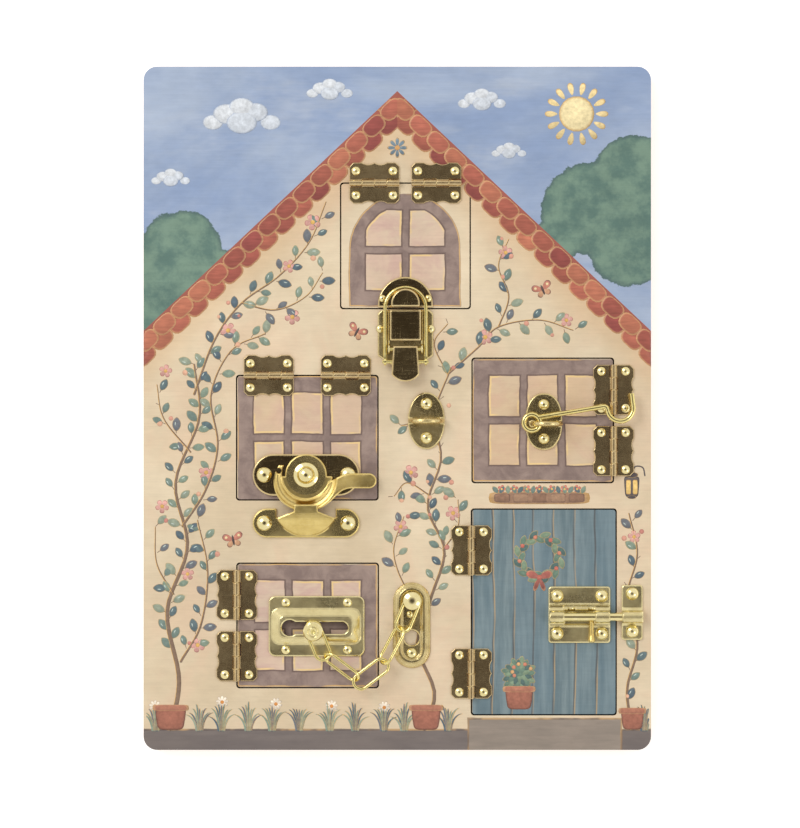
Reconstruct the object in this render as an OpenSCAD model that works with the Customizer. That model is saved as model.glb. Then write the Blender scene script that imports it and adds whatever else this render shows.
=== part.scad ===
// Wooden busy board: a plywood panel with five little shutters, each on brass hinges and each
// held by a different brass latch. It lies on its back, with X across it, Y up it and Z out of its face.

/* [Board] */
// Width of the board
board_w = 300; // [290:1:340]
// Height of the board
board_h = 404; // [395:1:460]
// Radius of the board's corners
board_corner_r = 8; // [2:0.5:20]
// Thickness of the front panel, and of the shutters sawn from it
front_t = 9; // [8:0.5:15]
// Thickness of the back panel
back_t = 3; // [2:0.5:6]
// Width of the saw cut round each shutter
kerf = 0.8; // [0.4:0.1:1.2]
// Radius of the shutters' corners
shutter_corner_r = 1.6; // [1:0.1:4]
// Space between a shutter's back and the back panel
shutter_gap = 0.3; // [0.1:0.05:1]

/* [Shutters] */
// Width of a square window shutter
window_w = 83.6; // [80:0.2:86]
// Height of a square window shutter
window_h = 73.6; // [72:0.2:76]
// Width of the gable shutter
gable_w = 76.6; // [70:0.2:90]
// Height of the gable shutter
gable_h = 74.2; // [68:0.2:78]
// Width of the front door
door_w = 85.6; // [84:0.2:88]
// Height of the front door
door_h = 121.6; // [116:0.2:124]
// Centre of the gable shutter, across and up
gable_at = [4.8, 96.0]; // [0:0.2:10], [90:0.2:100]
// Centre of the left shutter
left_at = [-53.2, -17.4]; // [-58:0.2:-48], [-20:0.2:-14]
// Centre of the right shutter
right_at = [86.0, -7.2]; // [82:0.2:90], [-12:0.2:-2]
// Centre of the lower shutter
lower_at = [-53.0, -128.4]; // [-58:0.2:-48], [-134:0.2:-122]
// Centre of the front door
door_at = [86.6, -120.4]; // [82:0.2:92], [-126:0.2:-116]

/* [Hinges] */
// Length of a hinge along its pin
hinge_len = 29.4; // [24:0.2:31]
// Width of one leaf, from the pin's axis to its outer edge
leaf_w = 12; // [10.5:0.1:13]
// Thickness of a leaf
leaf_t = 0.8; // [0.6:0.05:1]
// Radius of a knuckle
knuckle_r = 1.8; // [1.6:0.05:1.9]
// Radius of a hinge pin
hinge_pin_r = 0.8; // [0.6:0.05:1]
// Number of knuckles on a hinge
knuckles = 4; // [2:2:6]
// Height of the pin's axis above the board's face
hinge_axis_z = 2.0; // [1.95:0.01:2.1]
// Cut corner of a leaf
leaf_chamfer = 2.2; // [1:0.1:3]
// Depth of the scallops in a leaf's outer edge
scallop_d = 1.2; // [0.4:0.1:1.6]
// Distance of the hinge nails from the pin's axis
hinge_nail_x = 7.1; // [6.5:0.1:8]
// Distance between a leaf's two nails
hinge_nail_pitch = 21.9; // [18:0.1:23]
// Spacing of the two hinges on the gable shutter
gable_hinge_pitch = 36.6; // [34:0.2:44]
// Spacing of the two hinges on the left shutter
left_hinge_pitch = 45.5; // [36:0.2:50]
// Spacing of the two hinges on the right and lower shutters
side_hinge_pitch = 36.2; // [34:0.2:42]
// Spacing of the two hinges on the front door
door_hinge_pitch = 72.8; // [50:0.2:85]

/* [Nails] */
// Diameter of a small dome head
small_head_d = 5.2; // [4:0.1:5.6]
// Height of a small dome head
small_head_h = 1.1; // [0.8:0.1:1.15]
// Diameter of a large dome head
large_head_d = 9.0; // [8:0.1:9.6]
// Height of a large dome head
large_head_h = 2.2; // [1.5:0.1:2.3]
// Diameter of a bolt nail's dome head
bolt_head_d = 7.6; // [7:0.1:8.2]
// Height of a bolt nail's dome head
bolt_head_h = 2.2; // [1.5:0.1:2.4]
// Radius of a nail's shank
nail_r = 0.8; // [0.6:0.05:1]
// Depth of a nail in the wood
nail_depth = 6; // [4:0.5:7]
// Room round a shank in its hole
nail_fit = 0.03; // [0.01:0.01:0.1]

/* [Brass sheet] */
// Thickness of the pressed plates
sheet_t = 0.9; // [0.7:0.05:1]
// Gap between a moving part and what it passes
running_gap = 0.35; // [0.25:0.05:0.4]
// Radial room of a pin or rod in its bore
pin_fit = 0.06; // [0.03:0.01:0.1]

/* [Draw latch on the gable shutter] */
// Width of the latch base
toggle_base_w = 32.6; // [31:0.2:34]
// Length of the latch base
toggle_base_l = 33.4; // [32:0.2:35]
// Gap from the saw cut to the base and to the catch plate
toggle_edge_gap = 0.9; // [0.5:0.1:2]
// Width of the box pressed up in the base
toggle_box_w = 18.2; // [16:0.2:18.4]
// Length of the box
toggle_box_l = 18; // [14:0.2:18.4]
// Height of the box over the board's face
toggle_box_h = 6; // [4:0.2:6.2]
// Height of both latch pins over the face
toggle_pin_z = 4.2; // [4.1:0.05:4.4]
// Distance from the saw cut down to the lever's pin
toggle_pin_y = 24; // [23.6:0.1:24.4]
// Distance between the lever's pin and the bail's axle
toggle_arm = 7.5; // [7:0.1:7.8]
// Radius of the two latch pins
toggle_pin_r = 1.0; // [0.8:0.05:1.1]
// Width of the lever's tab where it starts
lever_w = 14.1; // [13:0.1:14.6]
// Width of the lever's tab at its end
lever_end_w = 16.4; // [15:0.1:18]
// Radius of the bail's wire
bail_wire_r = 1.1; // [0.9:0.05:1.15]
// Outer width of the bail
bail_w = 26.2; // [25.8:0.1:27]
// Width of the D-shaped hook's lip
catch_lip_w = 16.6; // [15:0.2:17]
// How far the hook's lip reaches over the bail
catch_grip = 0.4; // [0.2:0.05:0.5]
// Width of the catch plate
catch_w = 32.3; // [30:0.1:34]
// Length of the catch plate
catch_l = 17.8; // [17:0.1:20]

/* [Sash lock on the left shutter] */
// Length of the base plate and of the keeper
sash_l = 63; // [60:0.5:66]
// Width of the base plate
sash_base_w = 24.4; // [22:0.2:26]
// Thickness of the base plate and the keeper plate
sash_t = 1.2; // [1:0.1:1.3]
// Distance between the two nails of each plate
sash_nail_pitch = 49.4; // [48:0.2:51]
// Distance of the cam's pivot above the saw cut
cam_up = 14.8; // [14.4:0.1:15.2]
// Radius of the cam's hub disc
cam_hub_r = 12.2; // [11:0.1:12.6]
// Radius of the cam's lower sector
cam_sector_r = 15.0; // [14:0.1:15.4]
// Outer radius of the cam's crescent
crescent_r = 21.3; // [21:0.05:21.6]
// Height of the crescent's underside over the face
crescent_z = 3.8; // [3.7:0.05:3.9]
// Thickness of the crescent
crescent_t = 2.4; // [2:0.1:2.5]
// Width of the cam's handle
cam_handle_w = 8.7; // [7.5:0.1:9.5]
// Reach of the handle from the pivot
cam_handle_reach = 41.6; // [40:0.2:44]
// Radius of the cam's pivot rivet
cam_pivot_r = 2.5; // [2:0.1:3]
// Diameter of the dished collar round the rivet
cam_collar_d = 14.8; // [13:0.1:16]
// Diameter of the rivet's ball head
cam_ball_d = 10.6; // [9:0.1:12]
// Width of the keeper
keeper_w = 16.9; // [16:0.1:18]
// Distance of the keeper's upper edge below the saw cut
keeper_down = 5.2; // [4.8:0.1:5.6]
// Width of the keeper's lip
keeper_lip_w = 13.4; // [11:0.2:15]

/* [Hook and eye on the right shutter] */
// Width of the oval plates
hook_plate_w = 21.6; // [20:0.2:23]
// Length of the oval plate on the shutter
hook_plate_l = 33.3; // [31:0.2:35]
// Length of the oval plate on the board
eye_plate_l = 33.4; // [32:0.2:35]
// Distance between the two nails of a plate
hook_nail_pitch = 20.2; // [19:0.2:21.5]
// Diameter of these nails' heads
hook_head_d = 6.3; // [5:0.1:6.8]
// Radius of the wire of the loops
loop_wire_r = 1.5; // [1.2:0.05:1.6]
// Radius of the shutter's loop, to the middle of its wire
hook_loop_r = 8.35; // [8:0.05:9]
// Radius of the board's loop, to the middle of its wire
eye_loop_r = 9.5; // [9:0.05:9.8]
// Straight part of a loop's legs
loop_leg = 1.5; // [1:0.1:2.5]
// Radius of the hook's wire
hook_wire_r = 1.45; // [1.2:0.05:1.5]
// Radius of the hook's ring, to the middle of its wire
hook_ring_r = 4.75; // [4.6:0.05:4.9]
// Distance from the pivot to the hook's bend, along and up
hook_bend = [42.7, 10.35]; // [41:0.1:44], [9:0.05:11]
// Distance from the pivot to the middle of the hook's bow, along and up
hook_bow = [51.0, 9.2]; // [49:0.1:53], [8:0.1:10]
// Radius of the hook's bow, to the middle of its wire
hook_bow_r = 7.7; // [7.4:0.05:7.9]
// Length of the hook's straight end
hook_tip = 7.6; // [5:0.2:9]

/* [Chain guard on the lower shutter] */
// Width of the slide plate
slide_w = 56.5; // [55:0.5:60]
// Height of the slide plate
slide_h = 35.5; // [34:0.5:38]
// Height of the pressed-up middle over the board's face
slide_rise = 4.5; // [4.4:0.05:4.6]
// Width of the slot
slot_w = 7.2; // [7:0.05:7.6]
// Length of the slot, between the middles of its two ends
slot_l = 30.8; // [29:0.2:31.5]
// Radius of the keyhole at the slot's left end
keyhole_r = 4.8; // [4.7:0.05:5]
// Distance of the knob from the keyhole
knob_at = 14; // [12:0.2:16]
// Lean of the knob towards the hanging chain
knob_lean = 14; // [0:1:14]
// Radius of the knob's neck
knob_neck_r = 3.1; // [2.8:0.05:3.15]
// Radius of the knob's head
knob_head_r = 5.9; // [5:0.1:6.5]
// Radius of the knob's foot, behind the plate
knob_foot_r = 4.4; // [4.2:0.05:4.5]
// Length of a chain link, outside
link_l = 25.5; // [25:0.1:26]
// Width of a chain link, outside
link_w = 10.8; // [10.6:0.05:11]
// Radius of a link's wire
link_wire_r = 0.95; // [0.85:0.01:1]
// Turn of each link from the X axis, from the knob to the stud
link_turns = [-68, -37, 37, 62, 68]; // degrees, [-90:1:90] each
// Roll of each link about its own length
link_rolls = [0, 50, 0, -50, 0]; // degrees, [-60:1:60] each
// Height of the chain's middle over the board's face
chain_z = 7.0; // [6.9:0.05:7.1]
// Width of the anchor plate
anchor_w = 21.9; // [20:0.1:23]
// Length of the anchor plate
anchor_l = 50.5; // [48:0.5:53]
// Radius of the stud's neck
stud_neck_r = 2.7; // [2.4:0.05:2.8]
// Radius of the stud's head
stud_head_r = 5.3; // [5:0.1:6]
// Radius of the hole that parks the knob
park_r = 4.5; // [4.45:0.05:4.8]

/* [Barrel bolt on the front door] */
// Width of the bolt plate
bolt_plate_w = 36.4; // [35:0.2:38]
// Height of the bolt plate
bolt_plate_h = 33.2; // [32:0.2:35]
// Distance of the plate's middle left of the saw cut
bolt_plate_in = 21.8; // [20.8:0.1:22.4]
// Radius of the bolt
bolt_r = 2.6; // [2.4:0.05:2.7]
// Height of the bolt's axis over the board's face
bolt_z = 4.0; // [3.9:0.05:4.1]
// Length of the bolt
bolt_l = 49.2; // [47:0.2:50]
// Travel of the bolt
bolt_travel = 12; // [11:0.5:12.5]
// Radius of the handle's stem
handle_r = 1.2; // [1:0.05:1.3]
// Reach of the handle from the bolt's axis
handle_l = 15; // [12:0.2:16]
// Wall of the loops round the bolt
bolt_loop_wall = 1.1; // [0.9:0.05:1.3]
// Width of the bolt's keeper
bolt_keeper_w = 12.2; // [11:0.1:12.6]
// Height of the bolt's keeper
bolt_keeper_h = 32.3; // [31:0.1:34]
// Distance of the keeper's middle right of the saw cut
bolt_keeper_out = 9.4; // [9.2:0.1:10]

/* [Hidden] */

$fn = 64;
eps = 0.01;
face_z = back_t + front_t;
shutter_t = front_t - shutter_gap;

// One row for each shutter: centre, width, height, turn of its hinge edge, hinge spacing
GABLE = [gable_at, gable_w, gable_h, 0, gable_hinge_pitch];
LEFT = [left_at, window_w, window_h, 0, left_hinge_pitch];
RIGHT = [right_at, window_w, window_h, -90, side_hinge_pitch];
LOWER = [lower_at, window_w, window_h, 90, side_hinge_pitch];
DOOR = [door_at, door_w, door_h, 90, door_hinge_pitch];
SHUTTERS = [GABLE, LEFT, RIGHT, LOWER, DOOR];

// Distance from a shutter's centre to its hinge axis
function hinge_edge(s) = s[3] == 0 ? s[2] / 2 : s[1] / 2;

// Places of the four corners or two ends of a pattern of nails
function pair_x(pitch) = [[-pitch / 2, 0], [pitch / 2, 0]];
function pair_y(pitch) = [[0, -pitch / 2], [0, pitch / 2]];
function four(w, h) = [for (x = [-w / 2, w / 2]) for (y = [-h / 2, h / 2]) [x, y]];

hinge_nails = pair_x(hinge_nail_pitch);
scallop_r = (pow(hinge_len / 8, 2) + pow(scallop_d, 2)) / (2 * scallop_d);
knuckle_l = hinge_len / knuckles;
knuckle_gap = 0.1;

// Draw latch
toggle_x = gable_at[0];
toggle_cut_y = gable_at[1] - gable_h / 2;
toggle_lever_y = toggle_cut_y - toggle_pin_y;
bail_axle_y = toggle_lever_y - toggle_arm;
bail_r = bail_w / 2 - bail_wire_r;
catch_lip_r = catch_lip_w / 2;
catch_top_y = toggle_cut_y + 11.5;
bail_top_y = catch_top_y - catch_grip + bail_wire_r;
catch_lip_z = toggle_pin_z + bail_wire_r + 0.55;
toggle_nails = pair_x(toggle_base_w - 2.6);
catch_nails = pair_x(27.3);
catch_nail_y = toggle_cut_y + 6;
toggle_nail_y = toggle_cut_y - 12;
ear_t = 0.9;
ear_x = 9.3;
ear_r = 3;
cheek_t = 0.9;
cheek_x = lever_w / 2 - cheek_t;
cheek_r = 1.9;
lever_z = toggle_pin_z + 1.25;
lever_t = 1.2;
lever_tip_y = -19.2;

// Sash lock
cam_at = [left_at[0] - 0.7, left_at[1] - window_h / 2 + cam_up];
keeper_at = [cam_at[0], left_at[1] - window_h / 2 - keeper_down - keeper_w / 2];
sash_nails = pair_x(sash_nail_pitch);
cam_base_gap = 0.3;
lip_z = crescent_z + crescent_t + running_gap;
cam_hub_t = 2.7;
cam_top = sash_t + cam_base_gap + cam_hub_t;
collar_h = 1.7;
collar_ball_r = (pow(cam_collar_d / 2, 2) + pow(collar_h, 2)) / (2 * collar_h);
cam_ball_h = 4.2;
cam_ball_r = (pow(cam_ball_d / 2, 2) + pow(cam_ball_h, 2)) / (2 * cam_ball_h);

// Hook and eye
hook_plate_at = [right_at[0] + 0.6, right_at[1] - 0.7];
hook_loop_at = [hook_plate_at[0] + 1.6, hook_plate_at[1] - 1.2];
hook_z = 5.6;
hook_lean = hook_loop_r - sqrt(pow(hook_loop_r, 2) - pow(hook_z - sheet_t - loop_leg, 2));
hook_pivot = [hook_loop_at[0] - hook_loop_r + hook_lean, hook_loop_at[1]];
hook_ring_off = [-1.2, 0.7];
hook_reach = norm(hook_bow) + 2.5;
eye_plate_at = [hook_pivot[0] - hook_reach - eye_loop_r + 0.5, hook_pivot[1] + 1.7];

// The hook's wire runs straight to the bend, turns, runs straight to the bow, and ends in a straight tip
function heading(a, b) = atan2(b[1] - a[1], b[0] - a[0]);
bow_away = hook_bend - hook_bow;
bow_start = atan2(bow_away[1], bow_away[0]) + acos(hook_bow_r / norm(bow_away));
bow_start_at = hook_bow + hook_bow_r * [cos(bow_start), sin(bow_start)];
tip_lean = 7;
tip_start_at = hook_bow + hook_bow_r * [cos(tip_lean), sin(tip_lean)];
hook_tip_at = tip_start_at + hook_tip * [-sin(tip_lean), cos(tip_lean)];
ring_side = 38;
shank_start = hook_ring_off + hook_ring_r * [cos(ring_side), sin(ring_side)];
shank_turn = heading(shank_start, hook_bend);
neck_turn = heading(hook_bend, bow_start_at);
bend_r = 1.8;
bend_cut = bend_r * tan((shank_turn - neck_turn) / 2);
bend_from = hook_bend - bend_cut * [cos(shank_turn), sin(shank_turn)];
bend_to = hook_bend + bend_cut * [cos(neck_turn), sin(neck_turn)];
bend_mid = bend_from + bend_r * [sin(shank_turn), -cos(shank_turn)];

// Chain guard
slide_at = [lower_at[0] + 5.3, lower_at[1] - 0.4];
keyhole_at = slide_at + [-15.8, -0.8];
knob_base = [keyhole_at[0] + knob_at, keyhole_at[1]];
slide_under = slide_rise - sheet_t;
knob_turn_z = slide_rise - sheet_t / 2;
knob_foot_z = -2.6;
knob_head_z = 5.6;
knob_head_t = 2.5;
knob_rivet_r = 1.5;
chain_start = knob_base - [0, (chain_z - knob_turn_z) * tan(knob_lean)];
link_eye = link_w / 2 - link_wire_r;
link_span = link_l - link_w;
// a rolled link's end sits this far past the middle of a flat link's eye
link_sit = link_eye - 2 * link_wire_r - 0.2;
rolled_pitch = link_span + 2 * link_eye + 2 * link_sit;
link_pitches = [link_span, rolled_pitch, link_span, rolled_pitch, link_span];
function chain_at(i) = i == 0 ? chain_start
    : chain_at(i - 1) + link_pitches[i - 1] * [cos(link_turns[i - 1]), sin(link_turns[i - 1])];
stud_off = [-0.396, -0.005];
stud_at = chain_at(5) + stud_off;
stud_pin_r = 1.5;
stud_head_z = chain_z + link_wire_r + running_gap;
anchor_at = stud_at - [0.2, 14.7];
anchor_floor = 1.5;
anchor_ring_z = 2.4;
anchor_nail_places = [[0, -16.5], [-1.1, 6.4]];
park_at = anchor_at - [0, 7.3];

// Barrel bolt
bolt_cut_x = door_at[0] + door_w / 2;
bolt_plate_at = [bolt_cut_x - bolt_plate_in, door_at[1] - 1.6];
bolt_y = bolt_plate_at[1] - 1.1;
bolt_loop_r = bolt_r + pin_fit;
bolt_loop_w = 8.6;
bolt_keeper_at = [bolt_cut_x + bolt_keeper_out, bolt_y + 2.4];
bolt_end_x = bolt_keeper_at[0] + bolt_keeper_w / 2 - 1;
handle_x = bolt_plate_at[0] + 7.1;
bolt_nails = four(26.4, 22.2);
bolt_keeper_nails_at = pair_y(22.2);
slide_nails = four(36.4, 27.9);

// A rectangle with round corners
module rounded(w, h, r) {
    difference() {
        square([w, h], center = true);
        for (x = [-1, 1]) for (y = [-1, 1]) translate([x * (w / 2 - r), y * (h / 2 - r)]) difference() {
            translate([x > 0 ? 0 : -r - 1, y > 0 ? 0 : -r - 1]) square(r + 1);
            circle(r);
        }
    }
}

// A bar with round ends, lying along X
module stadium(l, w) {
    square([l - w, w], center = true);
    for (x = [-1, 1]) translate([x * (l - w) / 2, 0]) circle(d = w);
}

// A plate of brass sheet, standing on the board's face
module plate(at, t) {
    translate([at[0], at[1], face_z]) linear_extrude(t) children();
}

// A nail with a domed head whose underside is at z = 0
module nail(head_d, head_h, reach) {
    ball_r = (pow(head_d / 2, 2) + pow(head_h, 2)) / (2 * head_h);
    rotate_extrude() intersection() {
        translate([0, head_h - ball_r]) circle(ball_r, $fn = 128);
        square([head_d, head_h]);
    }
    translate([0, 0, -reach]) cylinder(r = nail_r, h = reach + eps);
}

// Nails through a plate whose top is at height z over the face
module nails(at, places, head_d, head_h, z) {
    for (p = places) translate([at[0] + p[0], at[1] + p[1], face_z + z])
        nail(head_d, head_h, z + nail_depth);
}

// The holes that nails need in the wood or in a plate
module nail_holes(at, places) {
    for (p = places) translate([at[0] + p[0], at[1] + p[1], face_z - nail_depth - 0.2])
        cylinder(r = nail_r + nail_fit, h = nail_depth + 12);
}

// Puts its children on a shutter's hinge axis, with Y pointing out of the shutter
module on_hinge(s) {
    translate([s[0][0], s[0][1], 0]) rotate([0, 0, s[3]]) translate([0, hinge_edge(s), 0]) children();
}

// Repeats its children at both hinges of a shutter
module at_hinges(s) {
    on_hinge(s) for (x = [-1, 1]) translate([x * s[4] / 2, 0, 0]) children();
}

module leaf_nail_holes(side) {
    translate([0, side * hinge_nail_x, 0]) nail_holes([0, 0], hinge_nails);
}

module back_panel() color("burlywood") linear_extrude(back_t) rounded(board_w, board_h, board_corner_r);

module front_panel() color("wheat") difference() {
    translate([0, 0, back_t]) linear_extrude(front_t) difference() {
        rounded(board_w, board_h, board_corner_r);
        for (s = SHUTTERS) translate(s[0]) rounded(s[1] + kerf, s[2] + kerf, shutter_corner_r + kerf / 2);
    }
    for (s = SHUTTERS) at_hinges(s) leaf_nail_holes(1);
    nail_holes([toggle_x, toggle_nail_y], toggle_nails);
    nail_holes(keeper_at, sash_nails);
    nail_holes(eye_plate_at, pair_y(hook_nail_pitch));
    nail_holes(anchor_at, anchor_nail_places);
    translate([stud_at[0], stud_at[1], face_z - nail_depth])
        cylinder(r = stud_pin_r + nail_fit, h = nail_depth + 1);
    nail_holes(bolt_keeper_at, bolt_keeper_nails_at);
}

module shutter(s) {
    translate([s[0][0], s[0][1], face_z - shutter_t]) linear_extrude(shutter_t)
        rounded(s[1] - kerf, s[2] - kerf, shutter_corner_r);
}

module gable_shutter() color("lightsteelblue") difference() {
    shutter(GABLE);
    at_hinges(GABLE) leaf_nail_holes(-1);
    nail_holes([toggle_x, catch_nail_y], catch_nails);
}

module left_shutter() color("rosybrown") difference() {
    shutter(LEFT);
    at_hinges(LEFT) leaf_nail_holes(-1);
    nail_holes(cam_at, sash_nails);
    translate([cam_at[0], cam_at[1], face_z - nail_depth])
        cylinder(r = cam_pivot_r + nail_fit, h = nail_depth + 1);
}

module right_shutter() color("rosybrown") difference() {
    shutter(RIGHT);
    at_hinges(RIGHT) leaf_nail_holes(-1);
    nail_holes(hook_plate_at, pair_y(hook_nail_pitch));
}

module lower_shutter() color("rosybrown") difference() {
    shutter(LOWER);
    at_hinges(LOWER) leaf_nail_holes(-1);
    nail_holes(slide_at, slide_nails);
}

module front_door() color("slategray") difference() {
    shutter(DOOR);
    at_hinges(DOOR) leaf_nail_holes(-1);
    nail_holes(bolt_plate_at, bolt_nails);
}

// The flat of one leaf: cut corners and two scallops in its outer edge
module leaf_outline() {
    difference() {
        translate([-hinge_len / 2, 0]) square([hinge_len, leaf_w]);
        for (x = [-1, 1]) {
            translate([x * hinge_len / 2, leaf_w]) rotate(45) square(leaf_chamfer * sqrt(2), center = true);
            translate([x * hinge_len / 8, leaf_w + scallop_r - scallop_d]) circle(scallop_r);
        }
    }
}

// One leaf; first is 0 or 1, the first knuckle that it carries
module leaf(side, first) {
    translate([0, 0, face_z]) difference() {
        union() {
            linear_extrude(leaf_t) scale([1, side]) difference() {
                leaf_outline();
                translate([-hinge_len, -eps]) square([2 * hinge_len, 0.3 + eps]);
            }
            translate([-hinge_len / 2, 0, hinge_axis_z]) rotate([0, 90, 0])
                cylinder(r = knuckle_r, h = hinge_len);
            translate([-hinge_len / 2, side > 0 ? 0 : -knuckle_r, hinge_axis_z - knuckle_r])
                cube([hinge_len, knuckle_r, leaf_t]);
        }
        for (i = [1 - first : 2 : knuckles - 1])
            translate([-hinge_len / 2 + i * knuckle_l - knuckle_gap, -2.3, -1])
            cube([knuckle_l + 2 * knuckle_gap, 4.6, 6]);
        translate([-hinge_len, 0, hinge_axis_z]) rotate([0, 90, 0])
            cylinder(r = hinge_pin_r + pin_fit, h = 2 * hinge_len);
        translate([0, 0, -face_z]) leaf_nail_holes(side);
    }
}

module frame_hinge_leaves() color("gold") for (s = SHUTTERS) at_hinges(s) leaf(1, 0);
module gable_hinge_leaves() color("gold") at_hinges(GABLE) leaf(-1, 1);
module left_hinge_leaves() color("gold") at_hinges(LEFT) leaf(-1, 1);
module right_hinge_leaves() color("gold") at_hinges(RIGHT) leaf(-1, 1);
module lower_hinge_leaves() color("gold") at_hinges(LOWER) leaf(-1, 1);
module door_hinge_leaves() color("gold") at_hinges(DOOR) leaf(-1, 1);

module hinge_pins() color("goldenrod") for (s = SHUTTERS) at_hinges(s)
    translate([-hinge_len / 2, 0, face_z + hinge_axis_z]) rotate([0, 90, 0])
    cylinder(r = hinge_pin_r, h = hinge_len);

module leaf_nails(s, side) {
    at_hinges(s) translate([0, side * hinge_nail_x, 0])
        nails([0, 0], hinge_nails, small_head_d, small_head_h, leaf_t);
}

module frame_hinge_nails() color("gold") for (s = SHUTTERS) leaf_nails(s, 1);
module gable_hinge_nails() color("gold") leaf_nails(GABLE, -1);
module left_hinge_nails() color("gold") leaf_nails(LEFT, -1);
module right_hinge_nails() color("gold") leaf_nails(RIGHT, -1);
module lower_hinge_nails() color("gold") leaf_nails(LOWER, -1);
module door_hinge_nails() color("gold") leaf_nails(DOOR, -1);

// The room under the pressed box
module toggle_hollow() {
    translate([toggle_x, toggle_cut_y - toggle_edge_gap - toggle_box_l / 2, face_z - 1])
        linear_extrude(toggle_box_h - sheet_t + 1)
        rounded(toggle_box_w - 2 * sheet_t, toggle_box_l - 2 * sheet_t, 0.4);
}

module toggle_base() color("gold") difference() {
    translate([toggle_x, toggle_cut_y - toggle_edge_gap, face_z]) linear_extrude(sheet_t) difference() {
        translate([-toggle_base_w / 2, -toggle_base_l]) square([toggle_base_w, toggle_base_l]);
        for (x = [-1, 1]) {
            translate([x * toggle_base_w / 2, -toggle_base_l]) rotate(x * 33)
                square([14, 11], center = true);
            translate([x * toggle_base_w / 2, 0]) rotate(45) square(3, center = true);
        }
    }
    toggle_hollow();
    nail_holes([toggle_x, toggle_nail_y], toggle_nails);
}

module toggle_box() color("gold") difference() {
    translate([toggle_x, toggle_cut_y - toggle_edge_gap - toggle_box_l / 2, face_z + sheet_t])
        linear_extrude(toggle_box_h - sheet_t) rounded(toggle_box_w, toggle_box_l, 0.8);
    toggle_hollow();
}

// Two ears that hold the lever's pin, each with a low rail along the box
module toggle_ears() color("gold") difference() {
    for (x = [-1, 1]) translate([toggle_x + x * (ear_x + ear_t / 2) - ear_t / 2, toggle_lever_y, face_z]) {
        translate([0, 0, toggle_pin_z]) rotate([0, 90, 0]) cylinder(r = ear_r, h = ear_t);
        translate([0, -ear_r, sheet_t]) cube([ear_t, 2 * ear_r, toggle_pin_z - sheet_t]);
        translate([0, 0, sheet_t])
            cube([ear_t, toggle_pin_y - toggle_edge_gap - 0.5, 2.4 - sheet_t]);
    }
    translate([toggle_x - 20, toggle_lever_y, face_z + toggle_pin_z]) rotate([0, 90, 0])
        cylinder(r = toggle_pin_r + pin_fit, h = 40);
}

module toggle_base_nails() color("gold")
    nails([toggle_x, toggle_nail_y], toggle_nails, 4.6, small_head_h, sheet_t);

module toggle_lever_pin() color("goldenrod") translate([toggle_x, toggle_lever_y, face_z + toggle_pin_z])
    rotate([0, 90, 0]) cylinder(r = toggle_pin_r, h = 2 * (ear_x + ear_t) + 0.3, center = true);

module toggle_bail_axle() color("goldenrod") translate([toggle_x, bail_axle_y, face_z + toggle_pin_z])
    rotate([0, 90, 0]) cylinder(r = toggle_pin_r, h = bail_w + 1, center = true);

module toggle_lever() color("gold") translate([toggle_x, toggle_lever_y, face_z]) difference() {
    union() {
        translate([0, 0, lever_z]) linear_extrude(lever_t) {
            polygon([[-lever_w / 2, 1.6], [lever_w / 2, 1.6], [lever_end_w / 2, lever_tip_y + 4],
                [-lever_end_w / 2, lever_tip_y + 4]]);
            intersection() {
                translate([0, lever_tip_y + 10.3]) circle(10.3);
                translate([-lever_end_w / 2, lever_tip_y - 1]) square([lever_end_w, 5.02]);
            }
        }
        for (x = [-1, 1]) translate([x * (cheek_x + cheek_t / 2) - cheek_t / 2, 0, 0]) {
            translate([0, -toggle_arm, toggle_pin_z - 1.9]) cube([cheek_t, toggle_arm, 3.4]);
            translate([0, 0, toggle_pin_z]) rotate([0, 90, 0]) cylinder(r = cheek_r, h = cheek_t);
            translate([0, -toggle_arm, toggle_pin_z]) rotate([0, 90, 0]) cylinder(r = cheek_r, h = cheek_t);
        }
    }
    for (y = [0, -toggle_arm]) translate([-20, y, toggle_pin_z]) rotate([0, 90, 0])
        cylinder(r = toggle_pin_r + pin_fit, h = 40);
}

// The bail: a wire bow whose ends are flat eyes on the axle
module toggle_bail() color("lemonchiffon") translate([toggle_x, 0, face_z + toggle_pin_z]) difference() {
    union() {
        translate([0, bail_top_y - bail_r, 0]) rotate_extrude(angle = 180) translate([bail_r, 0])
            circle(bail_wire_r);
        for (x = [-1, 1]) {
            translate([x * bail_r, bail_axle_y + 2.6, 0]) rotate([-90, 0, 0])
                cylinder(r = bail_wire_r, h = bail_top_y - bail_r - bail_axle_y - 2.6);
            translate([x * bail_r, bail_axle_y, 0]) rotate([0, 90, 0])
                cylinder(r = 2.1, h = 1.5, center = true);
            translate([x * bail_r - 0.75, bail_axle_y, -1]) cube([1.5, 3.6, 2]);
        }
    }
    translate([-20, bail_axle_y, 0]) rotate([0, 90, 0]) cylinder(r = toggle_pin_r + pin_fit, h = 40);
}

module toggle_catch() color("gold") difference() {
    union() {
        translate([toggle_x, toggle_cut_y + toggle_edge_gap, face_z]) linear_extrude(sheet_t) difference() {
            union() {
                translate([0, catch_l - catch_w / 2]) circle(catch_w / 2);
                translate([-catch_w / 2, 0]) square([catch_w, catch_l - catch_w / 2]);
            }
            translate([-catch_w, -catch_w]) square([2 * catch_w, catch_w]);
        }
        catch_hook(catch_lip_r - 0.9, catch_top_y - 0.9 - toggle_cut_y, 0.5, catch_lip_z);
        translate([0, 0, catch_lip_z]) catch_hook(catch_lip_r, catch_top_y - toggle_cut_y, 0, 1.1);
    }
    nail_holes([toggle_x, catch_nail_y], catch_nails);
}

// A D-shaped block that ends at a given distance over the saw cut
module catch_hook(r, top, inset, h) {
    translate([toggle_x, toggle_cut_y, face_z]) linear_extrude(h) {
        translate([0, top - r]) intersection() {
            circle(r);
            translate([-2 * r, 0]) square(4 * r);
        }
        translate([-r, 1.1 + inset]) square([2 * r, top - r - 1.1 - inset + eps]);
    }
}

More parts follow.
